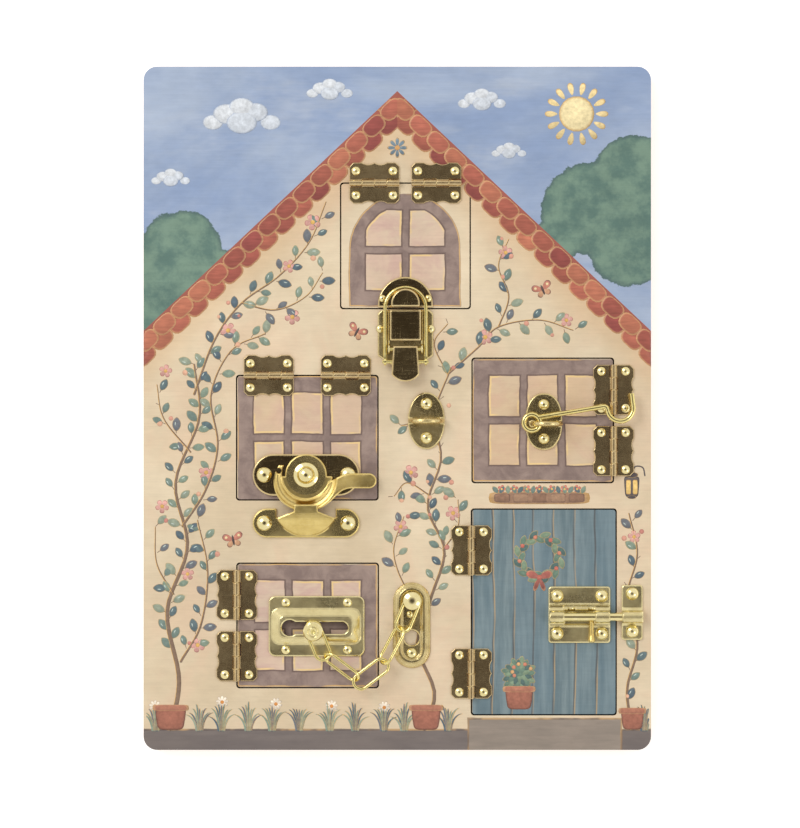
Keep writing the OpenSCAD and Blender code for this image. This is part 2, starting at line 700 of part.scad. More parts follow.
module toggle_catch_nails() color("gold")
    nails([toggle_x, catch_nail_y], catch_nails, 4.2, small_head_h, sheet_t);

module sash_base() color("gold") difference() {
    plate(cam_at, sash_t) stadium(sash_l, sash_base_w);
    nail_holes(cam_at, sash_nails);
    translate([cam_at[0], cam_at[1], face_z - 1]) cylinder(r = cam_pivot_r + pin_fit, h = 4);
}

module sash_base_nails() color("gold") nails(cam_at, sash_nails, large_head_d, large_head_h, sash_t);

// Outline of the crescent: a circle about the pivot on the right, a smaller one on the left
module crescent_outline() {
    intersection() {
        circle(crescent_r, $fn = 96);
        union() {
            translate([-1.8, -4.1]) circle(17.2, $fn = 96);
            translate([-1.8, -crescent_r - 1]) square([2 * crescent_r, crescent_r - 3]);
        }
        union() {
            translate([-2 * crescent_r, -2 * crescent_r]) square([4 * crescent_r, 2 * crescent_r - 4]);
            translate([-2 * crescent_r, -5]) square([2 * crescent_r, 10.8]);
        }
    }
}

// A point on the curve that leaves a towards b and comes to d from c
function curve(a, b, c, d, t) = pow(1 - t, 3) * a + 3 * t * pow(1 - t, 2) * b
    + 3 * t * t * (1 - t) * c + t * t * t * d;

// The handle: the crescent sweeps out in an S to a bar with a round end
module handle_outline() {
    end_x = cam_handle_reach - cam_handle_w / 2;
    low = -3.4 - cam_handle_w / 2;
    high = -3.4 + cam_handle_w / 2;
    translate([end_x, -3.4]) circle(d = cam_handle_w);
    polygon([for (t = [0 : 0.1 : 1.01]) curve([14.25, -15.83], [18.7, -11.8], [21, low], [27, low], t),
        [end_x, low], [end_x, high],
        for (t = [0 : 0.1 : 1.01]) curve([27, high], [22, high], [17.5, -2.2], [13.8, -4.2], t),
        [12, -8], [11, -13]]);
}

module sash_cam() color("gold") translate([cam_at[0], cam_at[1], face_z]) difference() {
    union() {
        translate([0, 0, sash_t + cam_base_gap]) cylinder(r = cam_hub_r, h = cam_hub_t);
        translate([0, 0, sash_t + cam_base_gap]) linear_extrude(cam_hub_t) intersection() {
            circle(cam_sector_r);
            translate([-cam_sector_r, -cam_sector_r]) square([2 * cam_sector_r, cam_sector_r - 0.8]);
        }
        translate([0, 0, crescent_z]) linear_extrude(crescent_t) difference() {
            crescent_outline();
            circle(cam_sector_r - 0.6);
            translate([-cam_hub_r - 3.9, 2.5]) circle(1.7);
        }
        translate([0, 0, crescent_z]) linear_extrude(crescent_t) difference() {
            handle_outline();
            circle(cam_sector_r - 0.6);
        }
        // the crescent stands on the sector's rim
        translate([0, 0, sash_t + cam_base_gap]) linear_extrude(cam_hub_t) intersection() {
            difference() {
                circle(cam_sector_r + 0.7);
                circle(cam_sector_r - 0.6);
            }
            translate([-cam_sector_r - 1, -cam_sector_r - 1]) square([2 * cam_sector_r + 2, cam_sector_r]);
        }
    }
    // dish in the crescent's upper face
    translate([-0.6, -1.8, crescent_z + crescent_t + 1.1]) rotate_extrude()
        translate([16.1, 0]) circle(2.9);
    translate([0, 0, -1]) cylinder(r = cam_pivot_r + pin_fit, h = 12);
}

// The rivet that the cam turns on: shank, dished collar and ball head
module sash_rivet() color("lemonchiffon") translate([cam_at[0], cam_at[1], face_z]) {
    translate([0, 0, -nail_depth + 0.2]) cylinder(r = cam_pivot_r, h = nail_depth + 5);
    translate([0, 0, cam_top + pin_fit]) rotate_extrude() difference() {
        intersection() {
            translate([0, collar_h - collar_ball_r]) circle(collar_ball_r, $fn = 128);
            square([cam_collar_d / 2, 2]);
        }
        translate([cam_ball_d / 2 + 0.5, 1.9]) circle(0.7);
    }
    translate([0, 0, cam_top + 1]) rotate_extrude() intersection() {
        translate([0, cam_ball_h - cam_ball_r]) circle(cam_ball_r, $fn = 128);
        square([cam_ball_d / 2, cam_ball_h]);
    }
}

// The keeper: a plate with a notch, and a fan that rises out of it to a lip over the crescent
module sash_keeper() color("gold") difference() {
    union() {
        plate(keeper_at, sash_t) difference() {
            stadium(sash_l, keeper_w);
            translate([-17.6, keeper_w / 2 - 5.3]) square([35.2, 6]);
        }
        translate([keeper_at[0], keeper_at[1], face_z]) intersection() {
            rotate([90, 0, 90]) translate([0, 0, -20]) linear_extrude(40) keeper_profile();
            linear_extrude(12) keeper_fan();
        }
    }
    nail_holes(keeper_at, sash_nails);
}

// Side view of the fan: rises from the plate's lower part and levels off into the lip
module keeper_profile() {
    top = lip_z + 1.1;
    polygon([[-keeper_w / 2 + 0.9, 0], [-keeper_w / 2 + 0.9, sash_t], [-1.5, top - 2.2], [2.5, top - 0.5],
        [5.6, top], [keeper_w / 2 + 2.6, top - 0.1], [keeper_w / 2 + 2.6, lip_z], [5.6, lip_z],
        [3.4, lip_z - 0.9], [-0.6, top - 3.9], [-keeper_w / 2 + 4.4, 0]]);
}

module keeper_fan() {
    intersection() {
        union() {
            polygon([[-keeper_lip_w / 2, keeper_w / 2 + 2.6], [keeper_lip_w / 2, keeper_w / 2 + 2.6],
                [keeper_lip_w / 2 + 0.4, keeper_w / 2 - 1.4], [16.6, keeper_w / 2 - 5.3], [16.6, -3],
                [-16.6, -3], [-16.6, keeper_w / 2 - 5.3], [-keeper_lip_w / 2 - 0.4, keeper_w / 2 - 1.4]]);
            translate([-16.6, -10]) square([33.2, 7.1]);
        }
        translate([0, 11.5]) circle(19.2, $fn = 96);
    }
}

module sash_keeper_nails() color("gold") nails(keeper_at, sash_nails, large_head_d, large_head_h, sash_t);

// A loop of wire that stands on a plate, legs and bow
module wire_loop(at, r) {
    translate([at[0], at[1], face_z + sheet_t + loop_leg]) {
        rotate([90, 0, 0]) rotate_extrude(angle = 180) translate([r, 0]) circle(loop_wire_r);
        for (x = [-r, r]) translate([x, 0, -loop_leg - 0.2]) cylinder(r = loop_wire_r, h = loop_leg + 0.2);
    }
}

// An oval, standing upright; full is 1 for an ellipse and less for squarer sides
module oval(w, l, full) {
    polygon([for (a = [0 : 5 : 359]) [w / 2 * sign(cos(a)) * pow(abs(cos(a)), full),
        l / 2 * sign(sin(a)) * pow(abs(sin(a)), full)]]);
}

module hook_plate() color("gold") difference() {
    union() {
        plate(hook_plate_at, sheet_t) oval(hook_plate_w, hook_plate_l, 0.86);
        wire_loop(hook_loop_at, hook_loop_r);
    }
    nail_holes(hook_plate_at, pair_y(hook_nail_pitch));
}

module hook_plate_nails() color("gold")
    nails(hook_plate_at, pair_y(hook_nail_pitch), hook_head_d, 1.8, sheet_t);

module eye_plate() color("gold") difference() {
    union() {
        plate(eye_plate_at, sheet_t) oval(hook_plate_w, eye_plate_l, 0.96);
        wire_loop(eye_plate_at, eye_loop_r);
    }
    nail_holes(eye_plate_at, pair_y(hook_nail_pitch));
}

module eye_plate_nails() color("gold")
    nails(eye_plate_at, pair_y(hook_nail_pitch), hook_head_d + 0.6, 1.9, sheet_t);

// A straight piece of wire between two points in the hook's plane, a hair thinner than the bent
// pieces and let a little way into them
module wire(a, b) {
    let_in = 0.15;
    translate([a[0], a[1], 0]) rotate([0, 0, heading(a, b)]) translate([-let_in, 0, 0]) rotate([0, 90, 0])
        cylinder(r = hook_wire_r - 0.03, h = norm(b - a) + 2 * let_in);
}

// A bent piece of wire about a centre, from one angle through a turn
module wire_arc(mid, r, from, turn) {
    translate([mid[0], mid[1], 0]) rotate([0, 0, from]) rotate_extrude(angle = turn)
        translate([r, 0]) circle(hook_wire_r);
}

module wire_hook() color("gold") translate([hook_pivot[0], hook_pivot[1], face_z + hook_z]) {
    wire_arc(hook_ring_off, hook_ring_r, 0, 360);
    wire(shank_start, bend_from);
    wire_arc(bend_mid, bend_r, neck_turn + 90, shank_turn - neck_turn);
    wire(bend_to, bow_start_at);
    wire_arc(hook_bow, hook_bow_r, bow_start, 360 + tip_lean - bow_start);
    wire(tip_start_at, hook_tip_at);
}

// A block with sloping sides, pressed up out of the plate
module pressing(w, h, top_w, top_h, rise, inset) {
    hull() {
        translate([0, 0, -eps]) linear_extrude(eps) rounded(w - 2 * inset, h - 2 * inset, 5);
        translate([0, 0, rise - 0.6]) linear_extrude(eps)
            rounded(top_w + 1.2 - inset, top_h + 1.2 - inset, 4);
        translate([0, 0, rise - eps]) linear_extrude(eps) rounded(top_w - inset, top_h - inset, 3.4);
    }
}

module slide_plate() color("gold") difference() {
    union() {
        plate(slide_at, sheet_t) rounded(slide_w, slide_h, 3.8);
        translate([slide_at[0] - 0.4, slide_at[1] - 0.1, face_z + 0.5])
            pressing(53.4, 21.8, 43.4, 13, slide_rise - 0.5, 0, $fn = 32);
    }
    translate([slide_at[0] - 0.4, slide_at[1] - 0.1, face_z - 0.1])
        pressing(53.4, 21.8, 43.4, 13, slide_under + 0.1, 0.8, $fn = 32);
    translate([keyhole_at[0], keyhole_at[1], face_z + 1]) cylinder(r = keyhole_r, h = 8);
    translate([keyhole_at[0], keyhole_at[1], face_z + 1]) {
        translate([0, -slot_w / 2, 0]) cube([slot_l, slot_w, 8]);
        translate([slot_l, 0, 0]) cylinder(d = slot_w, h = 8);
    }
    nail_holes(slide_at, slide_nails);
}

module slide_plate_nails() color("gold") nails(slide_at, slide_nails, small_head_d, small_head_h, sheet_t);

// Puts its children on the knob's leaning axis, with z = 0 in the middle of the plate
module on_knob() {
    translate([knob_base[0], knob_base[1], face_z + knob_turn_z]) rotate([knob_lean, 0, 0]) children();
}

// Head and neck of the knob, bored for its rivet
module chain_knob() color("lemonchiffon") on_knob() rotate_extrude() difference() {
    union() {
        translate([knob_rivet_r + pin_fit, knob_foot_z + 0.9]) square([knob_neck_r - knob_rivet_r - pin_fit,
            knob_head_z - knob_foot_z - 0.8]);
        difference() {
            translate([knob_rivet_r + pin_fit, knob_head_z])
                square([knob_head_r - knob_rivet_r - pin_fit, knob_head_t]);
            translate([knob_head_r, knob_head_z + knob_head_t]) rotate(45) square(1, center = true);
            translate([knob_head_r, knob_head_z]) rotate(45) square(0.8, center = true);
        }
    }
    translate([3, knob_head_z + knob_head_t]) circle(0.45);
}

// The rivet that holds the knob together, with the foot that runs behind the plate
module chain_knob_rivet() color("goldenrod") on_knob() rotate_extrude() difference() {
    union() {
        translate([0, knob_foot_z]) square([knob_rivet_r, knob_head_z + knob_head_t - knob_foot_z - 0.2]);
        translate([0, knob_foot_z]) square([knob_foot_r, 0.8]);
    }
    translate([0, knob_head_z + knob_head_t]) circle(0.9);
}

// One oval link, lying along X, with its middle at the origin
module link() {
    for (x = [-1, 1]) translate([x * link_span / 2, 0, 0]) rotate([0, 0, -90 * x])
        rotate_extrude(angle = 180) translate([link_eye, 0]) circle(link_wire_r, $fn = 48);
    for (y = [-1, 1]) translate([-link_span / 2, y * link_eye, 0]) rotate([0, 90, 0])
        cylinder(r = link_wire_r, h = link_span, $fn = 48);
}

module chain_link(i) color("gold")
    translate([chain_at(i)[0], chain_at(i)[1], face_z + chain_z]) rotate([0, 0, link_turns[i]])
    translate([link_pitches[i] / 2, 0, 0]) rotate([link_rolls[i], 0, 0]) link();

// Half section of the anchor plate: brim, raised ring and sunk floor
module anchor_profile() {
    polygon([[0, anchor_floor - sheet_t], [5.9, anchor_floor - sheet_t], [6.7, anchor_ring_z - sheet_t],
        [7.7, anchor_ring_z - sheet_t], [9.3, 0], [anchor_w / 2, 0], [anchor_w / 2, 0.7], [9.9, 0.9],
        [8.2, anchor_ring_z], [6.2, anchor_ring_z], [5.4, anchor_floor], [0, anchor_floor]]);
}

module anchor_plate() color("gold") translate([anchor_at[0], anchor_at[1], face_z]) difference() {
    union() {
        for (y = [-1, 1]) translate([0, y * (anchor_l - anchor_w) / 2, 0]) rotate([0, 0, 90 - 90 * y])
            rotate_extrude(angle = 180) anchor_profile();
        for (x = [-1, 1]) scale([x, 1, 1]) rotate([90, 0, 0])
            translate([0, 0, -(anchor_l - anchor_w) / 2]) linear_extrude(anchor_l - anchor_w)
            anchor_profile();
    }
    translate([park_at[0] - anchor_at[0], park_at[1] - anchor_at[1], -1]) cylinder(r = park_r, h = 6);
    translate([stud_at[0] - anchor_at[0], stud_at[1] - anchor_at[1], -1])
        cylinder(r = stud_pin_r + nail_fit, h = 6);
    translate([0, 0, -face_z]) nail_holes([0, 0], anchor_nail_places);
}

module anchor_nails() color("gold") {
    nails(anchor_at, [anchor_nail_places[0]], 6.2, 1.5, anchor_floor);
    nails(anchor_at, [anchor_nail_places[1]], 4, 1.1, anchor_floor);
}

// The stud that the last link hangs on
module chain_stud() color("lemonchiffon") translate([stud_at[0], stud_at[1], face_z]) rotate_extrude() {
    translate([0, -nail_depth + 0.5]) square([stud_pin_r, nail_depth + 4]);
    translate([0, anchor_floor]) square([stud_neck_r, stud_head_z - anchor_floor + 0.1]);
    intersection() {
        translate([0, stud_head_z + 1.7 - 9.2]) circle(9.2, $fn = 128);
        translate([0, stud_head_z]) square([stud_head_r, 3]);
    }
}

// An arch of brass over the bolt, standing on a plate
module bolt_arch(at, w) {
    translate([at[0] - w / 2, at[1], face_z]) rotate([90, 0, 90]) linear_extrude(w) difference() {
        union() {
            translate([0, bolt_z]) circle(bolt_loop_r + bolt_loop_wall);
            translate([-bolt_loop_r - bolt_loop_wall, 0])
                square([2 * (bolt_loop_r + bolt_loop_wall), bolt_z]);
            translate([-bolt_loop_r - 2, 0]) square([2 * (bolt_loop_r + 2), sheet_t + 0.7]);
        }
    }
}

module bolt_bore() {
    translate([bolt_cut_x - 60, bolt_y, face_z + bolt_z]) rotate([0, 90, 0])
        cylinder(r = bolt_loop_r, h = 100);
}

module bolt_plate() color("gold") difference() {
    union() {
        plate(bolt_plate_at, sheet_t) rounded(bolt_plate_w, bolt_plate_h, 1.6);
        // two pressed ribs beside the bolt
        for (y = [-5.3, 6.9])
            translate([bolt_plate_at[0] - bolt_plate_w / 2 + 0.2, bolt_y + y, face_z + sheet_t - 0.2])
            rotate([0, 90, 0]) cylinder(r = 0.6, h = bolt_plate_w - 0.4);
        for (x = [-1, 1])
            bolt_arch([bolt_plate_at[0] + x * (bolt_plate_w / 2 - bolt_loop_w / 2 - 0.4), bolt_y],
                bolt_loop_w);
        // rest with two notches for the handle
        translate([bolt_plate_at[0] - 9.3, bolt_y + 3.9, face_z + sheet_t - eps]) cube([18.6, 1.5, 3]);
    }
    for (x = [handle_x, handle_x - bolt_travel]) translate([x, bolt_y + 2, face_z + bolt_z]) {
        rotate([-90, 0, 0]) cylinder(r = handle_r + 1, h = 5);
        translate([-handle_r - 1, 0, 0]) cube([2 * handle_r + 2, 5, 4]);
    }
    bolt_bore();
    nail_holes(bolt_plate_at, bolt_nails);
}

module bolt_plate_nails() color("gold") nails(bolt_plate_at, bolt_nails, bolt_head_d, bolt_head_h, sheet_t);

module bolt_rod() color("lemonchiffon") translate([bolt_end_x - bolt_l, bolt_y, face_z + bolt_z])
    rotate([0, 90, 0]) rotate_extrude() polygon([[0, 0], [bolt_r - 0.6, 0], [bolt_r, 0.6],
        [bolt_r, bolt_l - 0.9], [bolt_r - 0.9, bolt_l], [0, bolt_l]]);

// The handle turns about the bolt's axis; its foot is hollowed to sit on the bolt
module bolt_handle() color("gold") translate([handle_x, bolt_y, face_z + bolt_z]) difference() {
    rotate([90, 0, 0]) rotate_extrude() polygon([[0, 0], [handle_r, 0], [handle_r, handle_l - 4],
        [1.9, handle_l - 0.8], [1.5, handle_l], [0, handle_l]]);
    translate([-5, 0, 0]) rotate([0, 90, 0]) cylinder(r = bolt_r + 0.03, h = 10);
}

module bolt_keeper() color("gold") difference() {
    union() {
        plate(bolt_keeper_at, sheet_t) rounded(bolt_keeper_w, bolt_keeper_h, 1.6);
        bolt_arch([bolt_keeper_at[0], bolt_y], bolt_keeper_w);
    }
    bolt_bore();
    nail_holes(bolt_keeper_at, bolt_keeper_nails_at);
}

module bolt_keeper_nails() color("gold")
    nails(bolt_keeper_at, bolt_keeper_nails_at, bolt_head_d, bolt_head_h, sheet_t);

back_panel();
front_panel();
gable_shutter();
left_shutter();
right_shutter();
lower_shutter();
front_door();
frame_hinge_leaves();
gable_hinge_leaves();
left_hinge_leaves();
right_hinge_leaves();
lower_hinge_leaves();
door_hinge_leaves();
hinge_pins();
frame_hinge_nails();
gable_hinge_nails();
left_hinge_nails();
right_hinge_nails();
lower_hinge_nails();
door_hinge_nails();
toggle_base();
toggle_box();
toggle_ears();
toggle_base_nails();
toggle_lever();
toggle_lever_pin();
toggle_bail();
toggle_bail_axle();
toggle_catch();
toggle_catch_nails();
sash_base();
sash_base_nails();
sash_cam();
sash_rivet();
sash_keeper();
sash_keeper_nails();
hook_plate();
hook_plate_nails();
wire_hook();
eye_plate();
eye_plate_nails();
slide_plate();
slide_plate_nails();
chain_knob();
chain_knob_rivet();
chain_link(0);  // chain_link_1
chain_link(1);  // chain_link_2
chain_link(2);  // chain_link_3
chain_link(3);  // chain_link_4
chain_link(4);  // chain_link_5
anchor_plate();
anchor_nails();
chain_stud();
bolt_plate();
bolt_plate_nails();
bolt_rod();
bolt_handle();
bolt_keeper();
bolt_keeper_nails();
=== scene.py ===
import bpy
import numpy as np
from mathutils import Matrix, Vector


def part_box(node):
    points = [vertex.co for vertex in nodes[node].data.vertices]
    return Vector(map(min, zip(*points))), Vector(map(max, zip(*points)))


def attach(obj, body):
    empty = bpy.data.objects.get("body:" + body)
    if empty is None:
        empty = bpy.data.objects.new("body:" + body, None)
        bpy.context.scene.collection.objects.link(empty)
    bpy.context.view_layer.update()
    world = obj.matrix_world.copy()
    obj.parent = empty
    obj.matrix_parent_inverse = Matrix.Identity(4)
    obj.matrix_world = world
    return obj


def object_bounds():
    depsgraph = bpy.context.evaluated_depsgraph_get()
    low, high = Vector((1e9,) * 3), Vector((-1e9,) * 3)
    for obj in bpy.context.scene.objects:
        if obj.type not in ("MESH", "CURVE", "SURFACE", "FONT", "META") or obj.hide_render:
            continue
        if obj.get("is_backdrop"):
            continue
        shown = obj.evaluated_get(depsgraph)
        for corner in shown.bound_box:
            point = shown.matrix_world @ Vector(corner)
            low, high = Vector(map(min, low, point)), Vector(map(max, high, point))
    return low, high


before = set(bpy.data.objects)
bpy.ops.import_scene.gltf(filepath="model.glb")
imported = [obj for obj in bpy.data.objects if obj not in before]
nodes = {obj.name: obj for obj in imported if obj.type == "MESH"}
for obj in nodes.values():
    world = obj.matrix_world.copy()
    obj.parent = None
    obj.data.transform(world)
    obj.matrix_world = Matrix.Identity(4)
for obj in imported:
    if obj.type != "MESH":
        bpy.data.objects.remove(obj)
scene = bpy.context.scene
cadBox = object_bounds()
mm = 0.001
faceZ = 12.0  # height of the painted face over the board's back, mm
sunkZ = faceZ - 0.05  # the foot of raised paint, just inside the wood
board = {"width": 300.0, "height": 404.0}
# shutters: centre, width and height of the saw cut's middle line, mm
shutters = {
    "gable": (4.8, 96.0, 76.6, 74.2),
    "left": (-53.2, -17.4, 83.6, 73.6),
    "right": (86.0, -7.2, 83.6, 73.6),
    "lower": (-53.0, -128.4, 83.6, 73.6),
    "door": (86.6, -120.4, 85.6, 121.6),
}
bodyNames = ["board", *shutters]
random = np.random.default_rng(7)


# Closed shapes from an array of shapes x rings x corners x 3. Quads join each ring to the next, and
# fans of triangles close the two ends at the points first and last.
def loft(rings, first, last):
    shapes, count, corners = rings.shape[:3]
    points = np.concatenate([rings.reshape(shapes, -1, 3), first[:, None], last[:, None]], axis=1)
    i, j = np.meshgrid(np.arange(count - 1), np.arange(corners), indexing="ij")
    here, beside = i * corners + j, i * corners + (j + 1) % corners
    quads = np.stack([here, here + corners, beside + corners, beside], -1).reshape(-1, 4)
    j = np.arange(corners)
    after = (j + 1) % corners
    tail = (count - 1) * corners
    fans = np.concatenate([
        np.stack([np.full(corners, count * corners), j, after], -1),
        np.stack([np.full(corners, count * corners + 1), tail + after, tail + j], -1)])
    step = np.arange(shapes)[:, None, None] * points.shape[1]
    return points.reshape(-1, 3), (quads + step).reshape(-1, 4), (fans + step).reshape(-1, 3)


def addObject(name, data):
    made = bpy.data.objects.new(name, data)
    scene.collection.objects.link(made)
    return made


# Puts arrays in millimetres and their colours into a smooth mesh, which rides on a body.
def put(name, made, body, finish="leaf"):
    points, quads, fans, colours = made
    mesh = bpy.data.meshes.new(name)
    mesh.from_pydata(points * mm, [], [*quads.tolist(), *fans.tolist()], shade_flat=False)
    layer = mesh.color_attributes.new("paint", "FLOAT_COLOR", "POINT")
    opaque = np.concatenate([colours, np.ones((len(colours), 1))], 1)
    layer.data.foreach_set("color", opaque.astype(np.float32).ravel())
    mesh.validate()
    mesh.materials.append(paint[finish])
    piece = addObject(name, mesh)
    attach(piece, body)


# Display colours, 0 to 255, to linear ones: a short straight part and then a power of 2.4.
def fromSrgb(colours):
    c = np.asarray(colours, float) / 255
    return np.where(c <= 0.04045, c / 12.92, ((c + 0.055) / 1.055) ** 2.4)


# A tone picked at random for each of a number of pieces.
def pickTones(tones, count):
    return fromSrgb(tones)[random.integers(0, len(tones), count)]


# A unit step in the board's plane: the angle's cosine and sine.
def heading(angle):
    return np.stack([np.cos(angle), np.sin(angle)], -1)


# Python's sign for a Math node, which takes a Term and a number or another Term.
def sign(operation):
    return lambda a, b=0.0: a.graph.math(operation, a, b)


# One value in a material, which can be added, compared and so on as a number can.
class Term:
    __add__, __sub__, __mul__ = sign("ADD"), sign("SUBTRACT"), sign("MULTIPLY")
    __truediv__, __abs__ = sign("DIVIDE"), sign("ABSOLUTE")
    __gt__, __lt__ = sign("GREATER_THAN"), sign("LESS_THAN")

    def __init__(self, graph, socket):
        self.graph = graph
        self.socket = socket

    def __rsub__(self, other):
        return self.graph.math("SUBTRACT", other, self)

    # low at fromLow and below it, high at fromHigh and above it
    def ramp(self, low=0.0, high=1.0, fromLow=0.3, fromHigh=0.7, kind="SMOOTHSTEP"):
        limits = {"Value": self, "From Min": fromLow, "From Max": fromHigh, "To Min": low, "To Max": high}
        return self.graph.value("ShaderNodeMapRange", limits, interpolation_type=kind)

    # 0 below the edge and 1 above it, with a soft change
    def over(self, edge, soft):
        return self.ramp(0.0, 1.0, edge - soft, edge + soft)


# A short way to write a material or the world: each call adds a node and gives its output as a Term.
class Graph:
    def __init__(self, owner, shader="Principled BSDF"):
        owner.use_nodes = True
        self.owner, self.tree = owner, owner.node_tree
        self.shader = self.tree.nodes[shader]
        ways = self.node("ShaderNodeTexCoord")
        self.place, self.outward = Term(self, ways["Object"]), Term(self, ways["Normal"])
        self.around = Term(self, ways["Generated"])

    def node(self, kind, inputs=(), **settings):
        made = self.tree.nodes.new(kind)
        for key, value in settings.items():
            setattr(made, key, value)
        for key, value in dict(inputs).items():
            self.feed(made.inputs[key], value)
        return made.outputs

    def feed(self, socket, value):
        if isinstance(value, Term):
            self.tree.links.new(value.socket, socket)
        elif np.ndim(value):
            more = (1.0,) if socket.type == "RGBA" else ()
            socket.default_value = (*[float(v) for v in value], *more)
        else:
            socket.default_value = value

    def value(self, kind, inputs=(), output=0, **settings):
        return Term(self, self.node(kind, inputs, **settings)[output])

    def math(self, operation, a, b=0.0, c=0.0):
        return self.value("ShaderNodeMath", {0: a, 1: b, 2: c}, operation=operation)

    def vector(self, operation, inputs, output=0):
        return self.value("ShaderNodeVectorMath", inputs, output, operation=operation)

    # the root of the sum of two squares
    def far(self, a, b):
        return self.math("SQRT", a * a + b * b)

    def scaled(self, factors):
        return self.vector("MULTIPLY", {0: self.place, 1: factors})

    def axes(self, source=None):
        return [Term(self, part) for part in self.node("ShaderNodeSeparateXYZ", {0: source or self.place})]

    # x and y in millimetres
    def onBoard(self):
        return [part * 1000.0 for part in self.axes()[:2]]

    def noise(self, scale, detail=3.0, rough=0.5, stretch=(1, 1, 1), warp=0.0):
        inputs = {"Vector": self.scaled(stretch), "Scale": scale, "Detail": detail, "Roughness": rough}
        return self.value("ShaderNodeTexNoise", {**inputs, "Distortion": warp}, "Fac")

    # a where the factor is 0 and b where it is 1; a tuple is a display colour
    def mix(self, factor, a, b):
        tones = [fromSrgb(tone) if isinstance(tone, tuple) else tone for tone in (a, b)]
        return self.value("ShaderNodeMix", {0: factor, 6: tones[0], 7: tones[1]}, 2, data_type="RGBA")

    def bump(self, height, strength, distance, **below):
        inputs = {"Height": height, "Strength": strength, "Distance": distance, **below}
        return self.value("ShaderNodeBump", inputs)

    def finish(self, **sockets):
        for key, value in sockets.items():
            self.feed(self.shader.inputs[key.replace("_", " ")], value)
        return self.owner


wash = {"pigment": 0.05, "brush": 0.035, "fibre": 0.03}


# A wash over a colour: the colour times one plus cloudy pigment, brush grain along X and wood fibre.
def painted(g, colour):
    parts = ((wash["pigment"], g.noise(38, 4, 0.55)), (wash["brush"], g.noise(190, 4, 0.65, (0.6, 1.5, 1))),
             (wash["fibre"], g.noise(520, 3, 0.6, (0.07, 2.4, 1), 0.3)))
    pigment, brush, fibre = [part.ramp(-much, much, kind="LINEAR") for much, part in parts]
    return g.vector("SCALE", {0: colour, "Scale": pigment + brush + fibre + 1.0})


# Layers of veneer: bands across the thickness, with fibres along them.
def plywoodEdge(g):
    bands = {"Vector": g.scaled((0, 0, 1)), "Scale": 105.0}
    layer = g.value("ShaderNodeTexWave", bands, "Fac", bands_direction="Z")
    fibre = g.noise(900, 2, 0.6, (0.2, 0.2, 2.5))
    tone = g.mix(layer.ramp(0, 1, 0.35, 0.65), (196, 158, 112), (150, 108, 68))
    return g.mix(fibre.ramp(0, 0.5, 0.3, 0.8), tone, (112, 76, 46))


# The saw cut: wood browned by the cutter, in fibres.
def burntEdge(g):
    return g.mix(g.noise(700, 3, 0.6, (0.3, 0.3, 2)).ramp(0, 1, 0.3, 0.75), (46, 27, 17), (96, 62, 38))


picture = {
    "apex": (0.0, 187.5), "slope": 0.945,  # the roof's line, mm
    "tileEdge": -10.5, "eaves": (-46, -17),  # tile colour and shade, by height over that line
    "groundTop": -190.0, "stepLeft": 42.0, "stepRight": 132.5, "stepTop": -183.5,
    "skyLight": (162, 176, 198), "skyDark": (134, 153, 186), "haze": (174, 184, 200),
    "crown": ((88, 116, 108), (116, 142, 126)), "crownRim": (74, 96, 98),
    "wallLight": (220, 204, 176), "wallDark": (205, 187, 157), "wallWarm": (216, 188, 160),
    "shade": (206, 168, 124), "tile": (158, 92, 80),
    "ground": ((108, 100, 98), (120, 111, 107)), "step": ((138, 128, 118), (150, 138, 127)),
    "line": ((88, 78, 76), (186, 150, 104)), "lineHalf": 0.55, "lineShare": 0.8,
}
# round tree crowns: centre and radius, mm
crowns = [(-128, 92, 25), (-102, 78, 17), (-146, 66, 22), (112, 118, 27), (140, 138, 24), (138, 98, 26),
          (90, 96, 15)]
print("materials")


